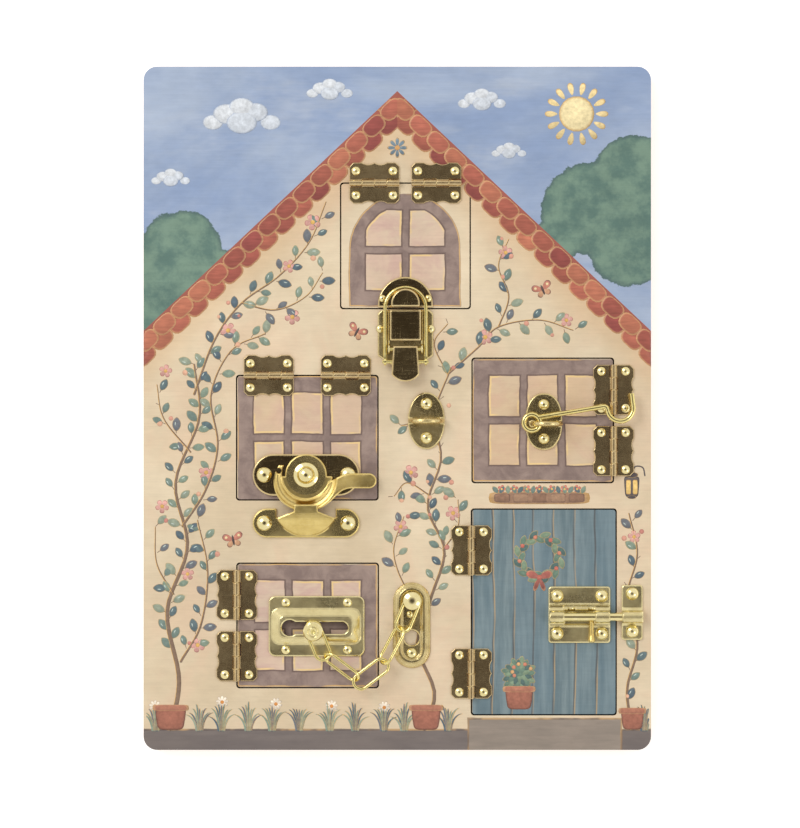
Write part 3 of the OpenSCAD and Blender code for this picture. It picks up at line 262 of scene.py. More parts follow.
# The flat parts of the picture by place: sky over the roof's line, tree crowns where the distance
# inwards from a circle is above zero, wall, ground and doorstep, with brushed lines along the last two.
def wallPicture(g):
    x, y = g.onBoard()
    left, right, top, low = [picture[key] for key in ("stepLeft", "stepRight", "stepTop", "groundTop")]
    wobble = (g.noise(95, 5, 0.68) - 0.5) * 9.0
    cloud = g.noise(9, 5, 0.6, (0.7, 1.5, 1), 0.4)
    sky = g.mix(cloud.over(0.5, 0.14), picture["skyDark"], picture["skyLight"])
    sky = g.mix(g.noise(22, 4, 0.6, (0.6, 1.7, 1)).over(0.62, 0.1) * 0.6, sky, picture["haze"])
    crown = None
    for cx, cy, radius in crowns:
        inside = radius - g.far(x - cx, y - cy)
        crown = inside if crown is None else g.math("SMOOTH_MAX", crown, inside, 4.0)
    crown = crown + wobble
    leafy = g.mix(g.noise(70, 4, 0.65).ramp(0, 1, 0.35, 0.65), *picture["crown"])
    leafy = g.mix(crown.ramp(0.75, 0.0, 0.3, 3.2), leafy, picture["crownRim"])
    sky = g.mix(crown.over(0.3, 0.35), sky, leafy)
    overRoof = (y - picture["apex"][1]) + abs(x - picture["apex"][0]) * picture["slope"]
    wall = g.mix(g.noise(14, 4, 0.6).over(0.5, 0.2), picture["wallDark"], picture["wallLight"])
    wall = g.mix(g.noise(21, 5, 0.62, warp=0.5).over(0.56, 0.12) * 0.55, wall, picture["wallWarm"])
    wall = g.mix(overRoof.ramp(0.0, 0.42, *picture["eaves"]), wall, picture["shade"])
    wall = g.mix(overRoof.over(picture["tileEdge"], 0.3), wall, picture["tile"])
    ground = g.mix(g.noise(55, 4, 0.6, (0.3, 2, 1)).ramp(), *picture["ground"])
    front = g.mix(overRoof.over(0.0, 0.12), g.mix((low - y).over(0.0, 0.3), wall, ground), sky)
    stone = g.mix(g.noise(80, 4, 0.6, (0.4, 2, 1)).ramp(), *picture["step"])
    front = g.mix((x > left) * (x < right) * (y < top), front, stone)
    # the line follows the step's outline, and the ground's top outside the step
    outOfStep = g.math("MAXIMUM", y - top, g.math("MAXIMUM", left - x, x - right))
    onGround = abs(y - low) + (outOfStep < 0.0) * 50.0
    toEdge = g.math("MINIMUM", abs(outOfStep), onGround)
    rim = 1.0 - (toEdge + wobble * 0.12).over(picture["lineHalf"], 0.25)
    line = g.mix(g.noise(45, 3, 0.6, (1, 0.4, 1)).over(0.5, 0.08), *picture["line"])
    return g.mix(rim * picture["lineShare"] * (y < top + 1.0), front, line)


# windows on the shutters, mm; amber is the share of warm tone in the glass
windows = {
    name: {"at": shutters[name][:2], "size": (82.6, 72.6), "panes": (3, 2), "arched": False, "amber": amber}
    for name, amber in (("left", 0.6), ("right", 0.6), ("lower", 0.0))}
windows["gable"] = {"at": (4.8, 93.5), "size": (66.0, 67.0), "panes": (2, 2), "arched": True, "amber": 0.1}
glazing = {
    "frameWide": 7.4, "bar": 5.0, "sway": 3.2,
    "glass": ((210, 184, 164), (206, 190, 166)), "rose": (198, 168, 156), "amber": (204, 174, 134),
    "frame": ((132, 114, 108), (166, 146, 136)), "frameEdge": (104, 86, 80),
    "glow": (226, 196, 140), "gold": (206, 168, 112),
}


# One window. The distance inwards from its outline gives the frame, and the distance from the nearest
# bar of an even grid gives the panes. Both waver with a slow noise.
def windowPicture(g, place):
    (cx, cy), (w, h), wide = place["at"], place["size"], glazing["frameWide"]
    x, y = g.onBoard()
    sway = (g.noise(34, 4, 0.6) - 0.5) * glazing["sway"]
    dx = (x - cx) + sway
    dy = (y - cy) + sway * -0.8
    if place["arched"]:
        over = g.math("MAXIMUM", dy - (h / 2 - w / 2), 0.0)
        inside = g.math("MINIMUM", w / 2 - g.far(dx, over), dy + h / 2)
    else:
        inside = g.math("MINIMUM", w / 2 - abs(dx), h / 2 - abs(dy))
    toBar = []
    for along, size, count in zip((dx, dy), place["size"], place["panes"]):
        paneWide = (size - 2 * wide) / count
        part = g.math("FRACT", (along + (size / 2 - wide)) / paneWide)
        toBar.append((0.5 - abs(part - 0.5)) * paneWide)
    pane = g.math("MINIMUM", g.math("MINIMUM", *toBar) - glazing["bar"] / 2, inside - wide)
    glass = g.mix(g.noise(24, 4, 0.6).over(0.5, 0.18), *glazing["glass"])
    glass = g.mix(g.noise(42, 4, 0.65, (1, 1.4, 1), 0.5).over(0.56, 0.14), glass, glazing["rose"])
    amber = g.noise(17, 3, 0.6).ramp(0.5 * place["amber"], place["amber"], 0.35, 0.65)
    glass = g.mix(amber, glass, glazing["amber"])
    frameTone = g.mix(g.noise(90, 5, 0.65, warp=0.4).ramp(), *glazing["frame"])
    frameTone = g.mix(pane.ramp(0.8, 0.0, -1.4, -0.2), glazing["frameEdge"], frameTone)
    glow = (0.5 - abs(pane - 0.6)).over(0.0, 0.3) * g.noise(60, 3).over(0.5, 0.08)
    glass = g.mix(glow, glass, glazing["glow"])
    colour = g.mix(pane.over(0.0, 0.22), frameTone, glass)
    goldLine = (0.3 - abs(inside - 0.5)).over(0.0, 0.1) * g.noise(34, 2).over(0.46, 0.06)
    colour = g.mix(goldLine, colour, glazing["gold"])
    return g.mix(inside.over(0.0, 0.2), wallPicture(g), colour)


planks = {
    "left": 44.0, "wide": 12.25, "bend": 0.5, "shake": 0.12,  # mm, and shares of a plank
    "tone": ((98, 117, 124), (126, 142, 146)), "other": (104, 128, 142), "otherShare": 0.35,
    "gap": (84, 84, 84), "gapFrom": 0.462, "gold": (176, 150, 112), "goldAt": 0.055, "goldHalf": 0.03,
}


# Upright planks. The whole part of x over a plank's width picks its tone, and the rest is the place
# across it: brushed along Y, with a soft dark gap at the joint and a broken golden-brown edge.
def doorPicture(g):
    x = g.onBoard()[0]
    bend = (g.noise(14, 2, 0.5) - 0.5) * planks["bend"]
    shake = (g.noise(70, 3, 0.6, (1, 0.5, 1)) - 0.5) * planks["shake"]
    across = (x - planks["left"]) / planks["wide"] + bend + shake
    plank, along = g.math("FLOOR", across), g.math("FRACT", across)
    tone = g.value("ShaderNodeTexWhiteNoise", {"W": plank}, "Value", noise_dimensions="1D")
    base = g.mix(g.noise(130, 4, 0.6, (1.8, 0.16, 1)).ramp(), *planks["tone"])
    base = g.mix(tone * planks["otherShare"], base, planks["other"])
    worn = g.noise(55, 3, 0.6, (1, 0.35, 1)).ramp(0.25, 0.8, 0.35, 0.6)
    base = g.mix(abs(along - 0.5).over(planks["gapFrom"], 0.02) * worn, base, planks["gap"])
    gold = (planks["goldHalf"] - abs(along - planks["goldAt"])).over(0.0, 0.014)
    gold = gold * g.noise(48, 3, 0.6, (1, 0.3, 1)).over(0.5, 0.14)
    return g.mix(gold * 0.85, base, planks["gold"])


wood = {"bare": ((214, 186, 142), (190, 154, 106)), "gloss": (0.5, 0.68), "shine": 0.32, "grain": 0.0002}


# Painted on top, bare birch underneath, and a burnt saw cut round the sides. With outer, the sides in
# the last 4 % of the board's half width or height are layered plywood.
def woodMaterial(name, drawn, outer):
    g = Graph(bpy.data.materials.new(name))
    x, y, z = g.axes()
    grain = g.noise(260, 3, 0.6, (0.07, 2.4, 1), 0.3)
    bare = g.mix(grain.ramp(0, 1, 0.35, 0.7), *wood["bare"])
    side = burntEdge(g)
    if outer:
        near = g.math("MAXIMUM", abs(x / (board["width"] / 2 * mm)), abs(y / (board["height"] / 2 * mm)))
        side = g.mix(near > 0.96, side, plywoodEdge(g))
    colour = g.mix(abs(g.axes(g.outward)[2]) > 0.7, side, bare)
    if drawn:
        colour = g.mix(z > (faceZ - 0.02) * mm, colour, painted(g, drawn(g)))
    height = g.noise(420, 3, 0.6, (0.12, 2.5, 1)) + g.noise(90, 3) * 0.5
    return g.finish(Base_Color=colour, Roughness=g.noise(120, 3).ramp(*wood["gloss"]),
                    Normal=g.bump(height, 0.16, wood["grain"]), Specular_IOR_Level=wood["shine"])


# curves is the roughness away from the flats, bend and most limit how far an edge's normal turns
brass = {"curves": 0.13, "bend": 3.0, "most": 0.6, "speck": (236, 216, 170), "dull": (226, 206, 144),
         "dullRough": 0.29}


# Polished brass: a tone that wanders, fine specks in the lacquer, hairline scratches, and flats with
# a gloss of their own. An edge is rounded by turning the normal the way that the bevel does, but up
# to three times as far and by 0.6 at most. Where dull(g) is 1, a flat is duller.
def brassMaterial(name, light, dark, rough, speckle, scratch, edge, drift=0.18, dull=None):
    g = Graph(bpy.data.materials.new(name))
    plain = g.value("ShaderNodeNewGeometry", output="Normal")
    rounded = g.value("ShaderNodeBevel", {"Radius": edge}, samples=8)
    turn = g.vector("SUBTRACT", {0: rounded, 1: plain})
    far = g.vector("LENGTH", {0: turn}, "Value")
    times = g.math("DIVIDE", brass["most"], g.math("MAXIMUM", far, 0.01))
    turned = g.vector("SCALE", {0: turn, "Scale": g.math("MINIMUM", brass["bend"], times)})
    normal = g.vector("NORMALIZE", {0: g.vector("ADD", {0: plain, 1: turned})})
    inPiece = g.value("ShaderNodeVectorTransform", {0: normal}, vector_type="NORMAL", convert_from="WORLD",
                      convert_to="OBJECT")
    flat = abs(g.axes(inPiece)[2]).ramp(0.0, 1.0, 0.95, 0.99)
    colour = g.mix(g.noise(160, 4, 0.6).ramp(), light, dark)
    specks = g.noise(1500, 2, 0.7).over(0.58, 0.06) * speckle
    colour = g.mix(specks, colour, brass["speck"])
    hair = g.noise(700, 3, 0.7, (0.12, 3, 1), 0.8).over(0.62, 0.05)
    cross = g.noise(700, 3, 0.7, (3, 0.12, 1), 0.8).over(0.63, 0.05)
    lines = g.math("MAXIMUM", hair, cross) * scratch
    flatRough, curveRough = rough, brass["curves"]
    if dull:
        place = dull(g) * flat
        colour = g.mix(place, colour, brass["dull"])
        flatRough, curveRough = place * (brass["dullRough"] - rough) + rough, rough
    gloss = flat * g.math("SUBTRACT", flatRough, curveRough) + curveRough
    gloss = gloss * g.noise(420, 3, 0.6).ramp(0.97, 1.04)
    gloss = gloss * g.noise(46, 1, 0.4).ramp(1 - drift, 1 + drift, 0.36, 0.64)
    gloss = gloss + (specks * 0.22 + lines * 0.5) * flat
    return g.finish(Base_Color=colour, Metallic=1.0, Roughness=gloss,
                    Normal=g.bump(lines, 0.08, 0.00004, Normal=normal))


sashLock = {"pivot": (-53.9, -39.4), "disc": 11.6, "foot": 1.6}  # mm


# 1 on the lock's disc, nearer to its rivet than the disc's radius.
def camDisc(g):
    x, y = g.onBoard()
    return 1.0 - g.far(x - sashLock["pivot"][0], y - sashLock["pivot"][1]).over(sashLock["disc"], 0.5)


# 1 on the keeper's flat foot, below its raised fan.
def keeperFoot(g):
    return g.axes()[2] < (faceZ + sashLock["foot"]) * mm


# light and dark tone, roughness of the flats, specks, scratches, width of the rounded edge in metres,
# and for some the drift of the gloss and where it is duller
brassLooks = {
    "dark": ((222, 200, 150), (204, 180, 130), 0.14, 0.2, 0.22, 0.0015),
    "plate": ((229, 217, 166), (213, 199, 148), 0.31, 0.25, 0.1, 0.0013, 0.13),
    "hinge": ((208, 186, 142), (190, 166, 124), 0.262, 0.08, 0.05, 0.0006, 0.06),
    "bright": ((240, 228, 176), (230, 216, 156), 0.2, 0.1, 0.02, 0.0002),
    "cam": ((234, 210, 136), (218, 192, 118), 0.36, 0.25, 0.05, 0.0013, 0.18, camDisc),
    "keeper": ((234, 212, 138), (218, 194, 120), 0.36, 0.25, 0.05, 0.0013, 0.18, keeperFoot),
    "oval": ((218, 200, 146), (198, 178, 124), 0.25, 0.4, 0.12, 0.0013),
    "satin": ((234, 210, 136), (218, 192, 118), 0.34, 0.1, 0.05, 0.0009),
    "wire": ((238, 224, 156), (226, 210, 138), 0.15, 0.0, 0.0, 0.0002),
}
# nodes by their finish
wearers = {
    "bright": ("chain_knob", "chain_stud", "sash_rivet", "bolt_rod"),
    "cam": ("sash_cam",), "keeper": ("sash_keeper",), "satin": ("bolt_handle",),
    "wire": ("wire_hook", "toggle_bail", "hinge_pins", "toggle_lever_pin", "toggle_bail_axle",
             "chain_knob_rivet", *[f"chain_link_{k}" for k in range(1, 6)]),
    "dark": ("sash_base", "toggle_box", "toggle_lever", "toggle_catch"),
    "oval": ("eye_plate", "hook_plate", "toggle_base", "anchor_plate"),
}
brasses = {key: brassMaterial(f"{key}Brass", *look) for key, look in brassLooks.items()}
woods = {
    "back_panel": woodMaterial("backBoard", None, True),
    "front_panel": woodMaterial("pictureBoard", wallPicture, True),
    "front_door": woodMaterial("plankDoor", doorPicture, False),
}
for name, place in windows.items():
    drawn = lambda g, place=place: windowPicture(g, place)
    woods[f"{name}_shutter"] = woodMaterial(f"{name}Shutter", drawn, False)


# A node's brass: by its whole name, else hinge leaves, nails, and plate for the rest.
def finishOf(name):
    for key, names in wearers.items():
        if name in names:
            return key
    return "hinge" if name.endswith("hinge_leaves") else "bright" if name.endswith("_nails") else "plate"


for name, part in nodes.items():
    part.data.materials.clear()
    part.data.materials.append(woods.get(name) or brasses[finishOf(name)])


# Brushed paint, which takes its colour from the piece's own colour layer.
def paintMaterial(name, stretch):
    g = Graph(bpy.data.materials.new(name))
    own = g.value("ShaderNodeAttribute", output="Color", attribute_name="paint")
    brush = g.noise(420, 4, 0.65, stretch).ramp(0.8, 1.18, kind="LINEAR")
    cloudy = g.noise(110, 3).ramp(0.93, 1.07, kind="LINEAR")
    colour = g.vector("SCALE", {0: own, "Scale": brush * cloudy})
    normal = g.bump(g.noise(650, 3, 0.6, stretch), 0.2, 0.00008)
    return g.finish(Base_Color=colour, Roughness=0.45, Normal=normal)


paint = {"leaf": paintMaterial("leafPaint", (1, 1, 1)), "tile": paintMaterial("paintAcross", (0.2, 1.8, 1))}


# 0 for the board, 1 to 5 for the shutters, -1 nearer than room to a saw cut or to the board's edge.
# The larger of a point's distances from a shutter's middle, less half its size, says how far it is out.
def whichBody(points, room):
    x, y = points[:, 0], points[:, 1]
    where = np.zeros(len(points), int)
    for k, (cx, cy, w, h) in enumerate(shutters.values(), 1):
        far = np.maximum(np.abs(x - cx) - w / 2, np.abs(y - cy) - h / 2)
        where = np.where(far < -room, k, np.where(far < room, -1, where))
    margin = room + 0.6
    off = (np.abs(x) > board["width"] / 2 - margin) | (np.abs(y) > board["height"] / 2 - margin)
    return np.where(off, -1, where)


# shape of the paint domes and their painted highlight: light makes each dome's upper side lighter, top its
# peak
highlitDome = {"corners": 18, "levels": (0.5, 0.82, 1.0), "fall": 0.8, "rimFrom": 0.86, "light": 0.22, "top": 1.15}


# Low domes of paint. outline(angle) gives x and y of the rim. A ring at each level is the outline
# shrunk about the middle, and its height falls off as one minus 0.8 times the level squared. The colour
# has a painted highlight, lighter towards the board's top and lighter still at the peak, and turns into
# the rim's beyond rimFrom.
def spots(outline, centres, turns, sizes, heights, colours, rims, levels=highlitDome["levels"], base=0.0):
    n = len(centres)
    turns, heights, base = [np.broadcast_to(value, n) for value in (turns, heights, base)]
    sizes = np.broadcast_to(sizes, (n, 2))
    colours, rims = [np.broadcast_to(value, (n, 3)) for value in (colours, rims)]
    angles = np.linspace(0, 2 * np.pi, highlitDome["corners"], endpoint=False)
    flat = np.stack(outline(angles), -1)[None] * sizes[:, None, :]
    c, s = np.cos(turns)[:, None], np.sin(turns)[:, None]
    flat = np.stack([flat[..., 0] * c - flat[..., 1] * s, flat[..., 0] * s + flat[..., 1] * c], -1)
    level = np.array([*levels, 1.0])
    xy = centres[:, None, None, :] + flat[:, None] * level[None, :, None, None]
    z = faceZ + base[:, None] + heights[:, None] * (1 - highlitDome["fall"] * level[None] ** 2)
    z[:, -1] = sunkZ
    rings = np.concatenate([xy, np.broadcast_to(z[..., None, None], xy.shape[:3] + (1,))], -1)
    top = np.column_stack([centres, faceZ + base + heights])
    points, quads, fans = loft(rings, top, np.column_stack([centres, np.full(n, sunkZ)]))
    blend = np.clip((level - highlitDome["rimFrom"]) / (1 - highlitDome["rimFrom"]), 0, 1)[None, :, None, None]
    # painted highlight: each spot is lighter on its upper side, and top makes its peak lighter still
    up = (rings[..., 1:2] - centres[:, None, None, 1:2]) / np.maximum(sizes[:, None, None, 1:2], 0.1)
    ring = colours[:, None, None] * (1 + highlitDome["light"] * up) * (1 - blend) + rims[:, None, None] * blend
    tones = np.concatenate([ring.reshape(n, -1, 3), colours[:, None] * highlitDome["top"], rims[:, None]], 1)
    return points, quads, fans, np.clip(tones.reshape(-1, 3), 0, 1)


# across and up a stroke, as shares of its half width and its height, with the painted shading there
shadedRidge = np.array([[-1, -0.05, 0.86], [-0.62, 0.7, 0.95], [0, 1, 1.05], [0.62, 0.7, 1.12], [1, -0.05, 0.95]])


# Raised strokes. The low half-round ridge is carried along each path, square to its direction in the
# board's plane, and closes to a point at both ends. Its colour has painted shading: the crest and one
# flank lighter, the edges darker.
def strips(paths, widths, heights, colours):
    across, up, tone = shadedRidge.T
    along = np.gradient(paths, axis=1)
    along /= np.linalg.norm(along, axis=-1, keepdims=True) + 1e-9
    side = np.stack([-along[..., 1], along[..., 0]], -1)
    xy = paths[:, :, None] + side[:, :, None] * (widths[..., None] / 2 * across)[..., None]
    z = np.where(up < 0, sunkZ, faceZ + heights[..., None] * up)
    rings = np.concatenate([xy, z[..., None]], -1)
    first = np.insert(paths[:, 0] - along[:, 0] * widths[:, :1] * 0.3, 2, faceZ, axis=1)
    last = np.insert(paths[:, -1] + along[:, -1] * widths[:, -1:] * 0.3, 2, faceZ, axis=1)
    n, count = paths.shape[:2]
    # painted shading across the stroke, from the ridge's tone column
    tones = colours[:, None, None] * tone[:, None] * np.ones((n, count, 1, 1))
    tones = np.concatenate([tones.reshape(n, -1, 3), colours[:, None], colours[:, None]], 1)
    return *loft(rings, first, last), np.clip(tones.reshape(-1, 3), 0, 1)


# A pointed oval: x is the cosine of the angle, y its sine with its size raised to the power 1.5.
def leafRim(a):
    return np.cos(a) / 2, np.sin(a) * np.abs(np.sin(a)) ** 0.5 / 2


# A circle: cosine and sine.
def roundRim(a):
    return np.cos(a) / 2, np.sin(a) / 2


# A roof tile: x is the cosine raised to the power 0.55. The end that lies lower, where the sine is
# above 0, is nearly half round, and the other one is flatter.
def shingleRim(a):
    x, y = np.cos(a), np.sin(a)
    return np.sign(x) * np.abs(x) ** 0.55 / 2, np.where(y > 0, np.abs(y) ** 0.9, y * 0.62) / 2


# A petal whose narrow end is at the origin: a circle pushed outwards and pinched.
def petalRim(a):
    return (np.cos(a) + 1) / 2, np.sin(a) / 2 * (0.45 + 0.55 * (np.cos(a) + 1) / 2)


# A box with round corners: the circle's cosine and sine raised to a small power.
def tileRim(a):
    x, y = np.cos(a), np.sin(a)
    return np.sign(x) * np.abs(x) ** 0.35 / 2, np.sign(y) * np.abs(y) ** 0.35 / 2


# A flower pot: the round-cornered box, a fifth narrower at the foot than at the top.
def potRim(a):
    x, y = tileRim(a)
    return x * (0.9 + 0.2 * y), y


# A smooth path through a few points: cubic Catmull-Rom between neighbours, sampled evenly.
def stroke(points, count):
    p = np.asarray(points, float)
    p = np.concatenate([[2 * p[0] - p[1]], p, [2 * p[-1] - p[-2]]])
    t = np.linspace(0, len(p) - 3 - 1e-6, count)
    i = t.astype(int)
    f = (t - i)[:, None]
    a, b, c, d = p[i], p[i + 1], p[i + 2], p[i + 3]
    square, cube = (2 * a - 5 * b + 4 * c - d) * f ** 2, (3 * b - a - 3 * c + d) * f ** 3
    return 0.5 * (2 * b + (c - a) * f + square + cube)


print("roof")
roof = {
    "pitch": 14.2, "depth": 11.2, "reach": 220.0, "thick": 0.08, "rim": (206, 160, 112),
    "rows": ((10.0, 0.0), (4.6, 0.07)),  # distance below the roof's line and height over the wood, mm
    "colours": [(170, 98, 80), (152, 82, 70), (176, 108, 84), (142, 72, 66), (160, 90, 74)],
}


# Two rows of tiles down each slope; the upper row overlaps the lower and is half a tile further on.
def makeRoof():
    apex, slope = np.array(picture["apex"]), picture["slope"]
    run = np.hypot(1, slope)
    centres, turns, bases, tones = [], [], [], []
    for side in (-1, 1):
        down = np.array([side, -slope]) / run
        inward = np.array([-side * slope, -1]) / run
        for row, (drop, z) in enumerate(roof["rows"]):
            s = np.arange(0, roof["reach"], roof["pitch"]) + (0.2 + 0.5 * row) * roof["pitch"]
            centres.append(apex + s[:, None] * down + drop * inward)
            turns.append(np.full(len(s), np.arctan2(down[1], down[0]) + (np.pi if side > 0 else 0)))
            bases.append(np.full(len(s), z))
            tones.append(pickTones(roof["colours"], len(s)))
    centres, turns, bases, tones = [np.concatenate(v) for v in (centres, turns, bases, tones)]
    colour = tones * random.uniform(0.9, 1.1, (len(tones), 1))
    size = (roof["pitch"] * 1.04, roof["depth"] * 1.1)
    points, quads, fans, colours = spots(shingleRim, centres, turns, size, roof["thick"], colour,
                                         fromSrgb(roof["rim"]), base=bases)
    # no tile reaches past the board's side or its roof line
    points[:, 0] = np.clip(points[:, 0], -board["width"] / 2 + 0.05, board["width"] / 2 - 0.05)
    over = points[:, 1] - (apex[1] - np.abs(points[:, 0] - apex[0]) * slope) + 0.05
    points[:, 1] -= np.maximum(over, 0)
    return points, quads, fans, colours


put("roofTiles", makeRoof(), "board", "tile")

leafTones = [(112, 130, 122), (94, 112, 116), (128, 144, 128), (86, 102, 112), (142, 152, 134),
             (108, 112, 118)]
golden = fromSrgb((206, 164, 96))
barkTone = fromSrgb((128, 106, 88))
# sizes and distances in mm; bare is the share of a stem without leaves, from its foot, for twigs and for
# trunks, and height and edgeAt are shares of its width
vine = {
    "samples": 120, "gap": 6.2, "reach": 6.0, "trunk": 2.5, "bare": (0.1, 0.24), "height": 0.035,
    "edge": 0.34, "edgeHeight": 0.13, "edgeAt": 0.42,
    "leaf": (8.6, 5.2), "leafHeight": 0.1, "roofRoom": 22, "lowest": -180, "sawRoom": 3.2,
    "glint": (3.0, 0.7), "glintTone": (186, 200, 192), "glintShare": 0.7,
    "stalk": (2.6, 5.2), "stalkWide": 0.5, "stalkHeight": 0.06,
}
# main stems: points up the wall, thickness at foot and tip, mm
stems = [
    ([(-134, -190), (-129, -160), (-136, -120), (-124, -82), (-131, -44), (-117, -6), (-120, 26)],
     3.4, 1.4),
    ([(-128, -150), (-116, -128), (-112, -96), (-118, -66)], 1.8, 0.8),
    ([(-127, -70), (-113, -48), (-106, -22), (-110, 8), (-98, 34), (-78, 44)], 1.8, 0.8),
    ([(-120, 8), (-108, 40), (-92, 62), (-70, 78), (-52, 98), (-42, 122)], 1.7, 0.7),
    ([(-122, -26), (-138, -6), (-142, 14)], 1.2, 0.6),
    ([(-132, -110), (-142, -92), (-143, -70)], 1.2, 0.6),
    ([(-92, 62), (-72, 58), (-54, 66), (-44, 80)], 1.2, 0.6),
    ([(16, -190), (22, -168), (12, -140), (20, -112), (28, -84), (18, -58), (26, -30), (22, -4), (32, 24)],
     2.8, 1.1),
    ([(17, -120), (4, -104), (-2, -84), (4, -64)], 1.2, 0.6),
    ([(27, -84), (36, -70), (36, -54)], 1.1, 0.6),
    ([(20, -52), (6, -44), (-2, -52)], 1.1, 0.6),
    ([(25, -22), (12, -10), (2, -10)], 1.1, 0.6),
    ([(30, 20), (48, 36), (60, 48), (84, 52), (104, 46)], 1.4, 0.7),
    ([(60, 48), (66, 66), (60, 84), (66, 100)], 1.2, 0.6),
    ([(30, 20), (22, 38), (30, 50)], 1.0, 0.6),
    ([(139, -190), (136, -166), (142, -140), (136, -112), (142, -86), (137, -62)], 2.2, 0.9),
]


# Places for leaves along a path: points spaced evenly, each pushed to one side and leaning forward,
# with the side changing from leaf to leaf.
def sprig(path, count, start):
    t = np.linspace(start, 1.0, count) * (len(path) - 1)
    spine = np.stack([np.interp(t, np.arange(len(path)), path[:, k]) for k in (0, 1)], -1)
    ahead = np.gradient(spine, axis=0)
    flip = np.where(np.arange(count) % 2 == 0, 1, -1)
    lean = np.arctan2(ahead[:, 1], ahead[:, 0]) + flip * random.uniform(0.5, 1.15, count)
    far = vine["reach"] * random.uniform(0.75, 1.2, count)
    return spine + far[:, None] * heading(lean), lean


print("vines")
stemPaths = np.array([stroke(points, vine["samples"]) for points, thick, thin in stems])
stemWidths = np.array([np.linspace(thick, thin, vine["samples"]) for points, thick, thin in stems])
sprigs = []
for path, widths in zip(stemPaths, stemWidths):
    length = np.linalg.norm(np.diff(path, axis=0), axis=1).sum()
    sprigs.append(sprig(path, int(length / vine["gap"]), vine["bare"][int(widths[0] >= vine["trunk"])]))
leafAt, leafTurn = [np.concatenate(v) for v in zip(*sprigs)]

# pairs of hinges: middle, half their distance along X and Y, and a hinge's width and height, mm
hingePairs = [(4.8, 133.1, 20.3, 0, 30, 25), (-53.2, 19.4, 22.9, 0, 30, 25), (127.8, -7.2, 0, 18, 25, 30),
              (-94.8, -128.4, 0, 18, 25, 30), (43.8, -120.4, 0, 40.5, 25, 30)]


# True where a point lies under a hinge or latch: inside its box, widened by room.
def underMetal(points, room):
    hit = np.zeros(len(points), bool)
    for name in nodes:
        if name.endswith(("_panel", "_shutter", "_door", "_pins")) or name.startswith("frame_hinge"):
            continue
        low, high = [np.array(corner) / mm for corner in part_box(name)]
        hit |= np.all((points > low[:2] - room) & (points < high[:2] + room), axis=1)
    for cx, cy, dx, dy, w, h in hingePairs:
        for side in (-1, 1):
            away = np.abs(points - (cx + side * dx, cy + side * dy))
            hit |= (away[:, 0] < w / 2 + room) & (away[:, 1] < h / 2 + room)
    return hit


# True where a point is on the wall, at least drop under the roof's line.
def underRoof(points, drop):
    line = picture["apex"][1] - np.abs(points[:, 0] - picture["apex"][0]) * picture["slope"]
    return points[:, 1] < line - drop


# Splits spots among the bodies that they lie on, clear of the metal by a share of the largest radius,
# and makes one piece for each body.
def byBody(name, make, where, radius, share=0.4):
    room = np.max(radius)
    home = whichBody(where, room)
    fits = (home >= 0) & ~underMetal(where, room * share)
    for k, body in enumerate(bodyNames):
        chosen = fits & (home == k)
        if chosen.any():
            put(f"{name}_{body}", make(chosen), body)


cuts = {"samples": 40, "roofRoom": 17}


# Cuts strokes where they would cross a saw cut, and gives each part to the body that it lies on. Every
# part is sampled again to the same number of points, so that all fit in one array.
def cutStrips(name, paths, widths, heights, colours, room=1.0, least=5):
    n, count = np.shape(paths)[:2]
    widths, heights = [np.broadcast_to(value, (n, count)) for value in (widths, heights)]
    i = np.arange(count)
    parts = {}
    for path, width, height, colour in zip(paths, widths, heights, np.broadcast_to(colours, (n, 3))):
        home = np.where(underRoof(path, cuts["roofRoom"]), whichBody(path, room), -1)
        for run in np.split(i, np.flatnonzero(np.diff(home)) + 1):
            if len(run) < least or home[run[0]] < 0:
                continue
            t = np.linspace(run[0], run[-1], cuts["samples"])
            x, y, wide, high = [np.interp(t, i, values) for values in (*path.T, width, height)]
            parts.setdefault(home[run[0]], []).append((np.stack([x, y], -1), wide, high, colour))
    for k, some in parts.items():
        made = strips(*[np.array(values) for values in zip(*some)])
        put(f"{name}_{bodyNames[k]}", made, bodyNames[k])


cutStrips("stems", stemPaths, stemWidths, stemWidths * vine["height"], barkTone)
ahead = np.gradient(stemPaths, axis=1)
across = np.stack([-ahead[..., 1], ahead[..., 0]], -1) / np.linalg.norm(ahead, axis=-1, keepdims=True)
cutStrips("stemEdges", stemPaths + across * stemWidths[..., None] * vine["edgeAt"], vine["edge"],
          vine["edgeHeight"], golden)

keep = (whichBody(leafAt, vine["sawRoom"]) == 0) & underRoof(leafAt, vine["roofRoom"])
keep &= leafAt[:, 1] > vine["lowest"]
leafAt, leafTurn = leafAt[keep], leafTurn[keep]
leafColour = pickTones(leafTones, len(leafAt))
leafSize = np.array(vine["leaf"]) * random.uniform(0.78, 1.08, (len(leafAt), 1))


def leavesOf(chosen):
    return spots(leafRim, leafAt[chosen], leafTurn[chosen] + np.pi, leafSize[chosen], vine["leafHeight"],
                 leafColour[chosen], golden, levels=(0.45, 0.8, 0.93))


byBody("leaves", leavesOf, leafAt, leafSize[:, 0] / 2)

# one pale stroke of light on most leaves
glint = random.uniform(0, 1, len(leafAt)) < vine["glintShare"]
glintAt = leafAt + heading(leafTurn + 1.2) * 0.8


def glintsOf(chosen):
    some, tone = chosen & glint, fromSrgb(vine["glintTone"])
    return spots(roundRim, glintAt[some], leafTurn[some], vine["glint"], 0.05, tone, tone, levels=(0.7,),
                 base=0.075)


byBody("glints", glintsOf, glintAt, leafSize[:, 0] / 2)

# short stalks join leaves and stems
near, far = [(leafAt - heading(leafTurn) * reach)[:, None] for reach in vine["stalk"]]
t = np.linspace(0, 1, 8)[None, :, None]
cutStrips("stalks", near * (1 - t) + far * t, vine["stalkWide"], vine["stalkHeight"], barkTone * 0.9,
          least=4)

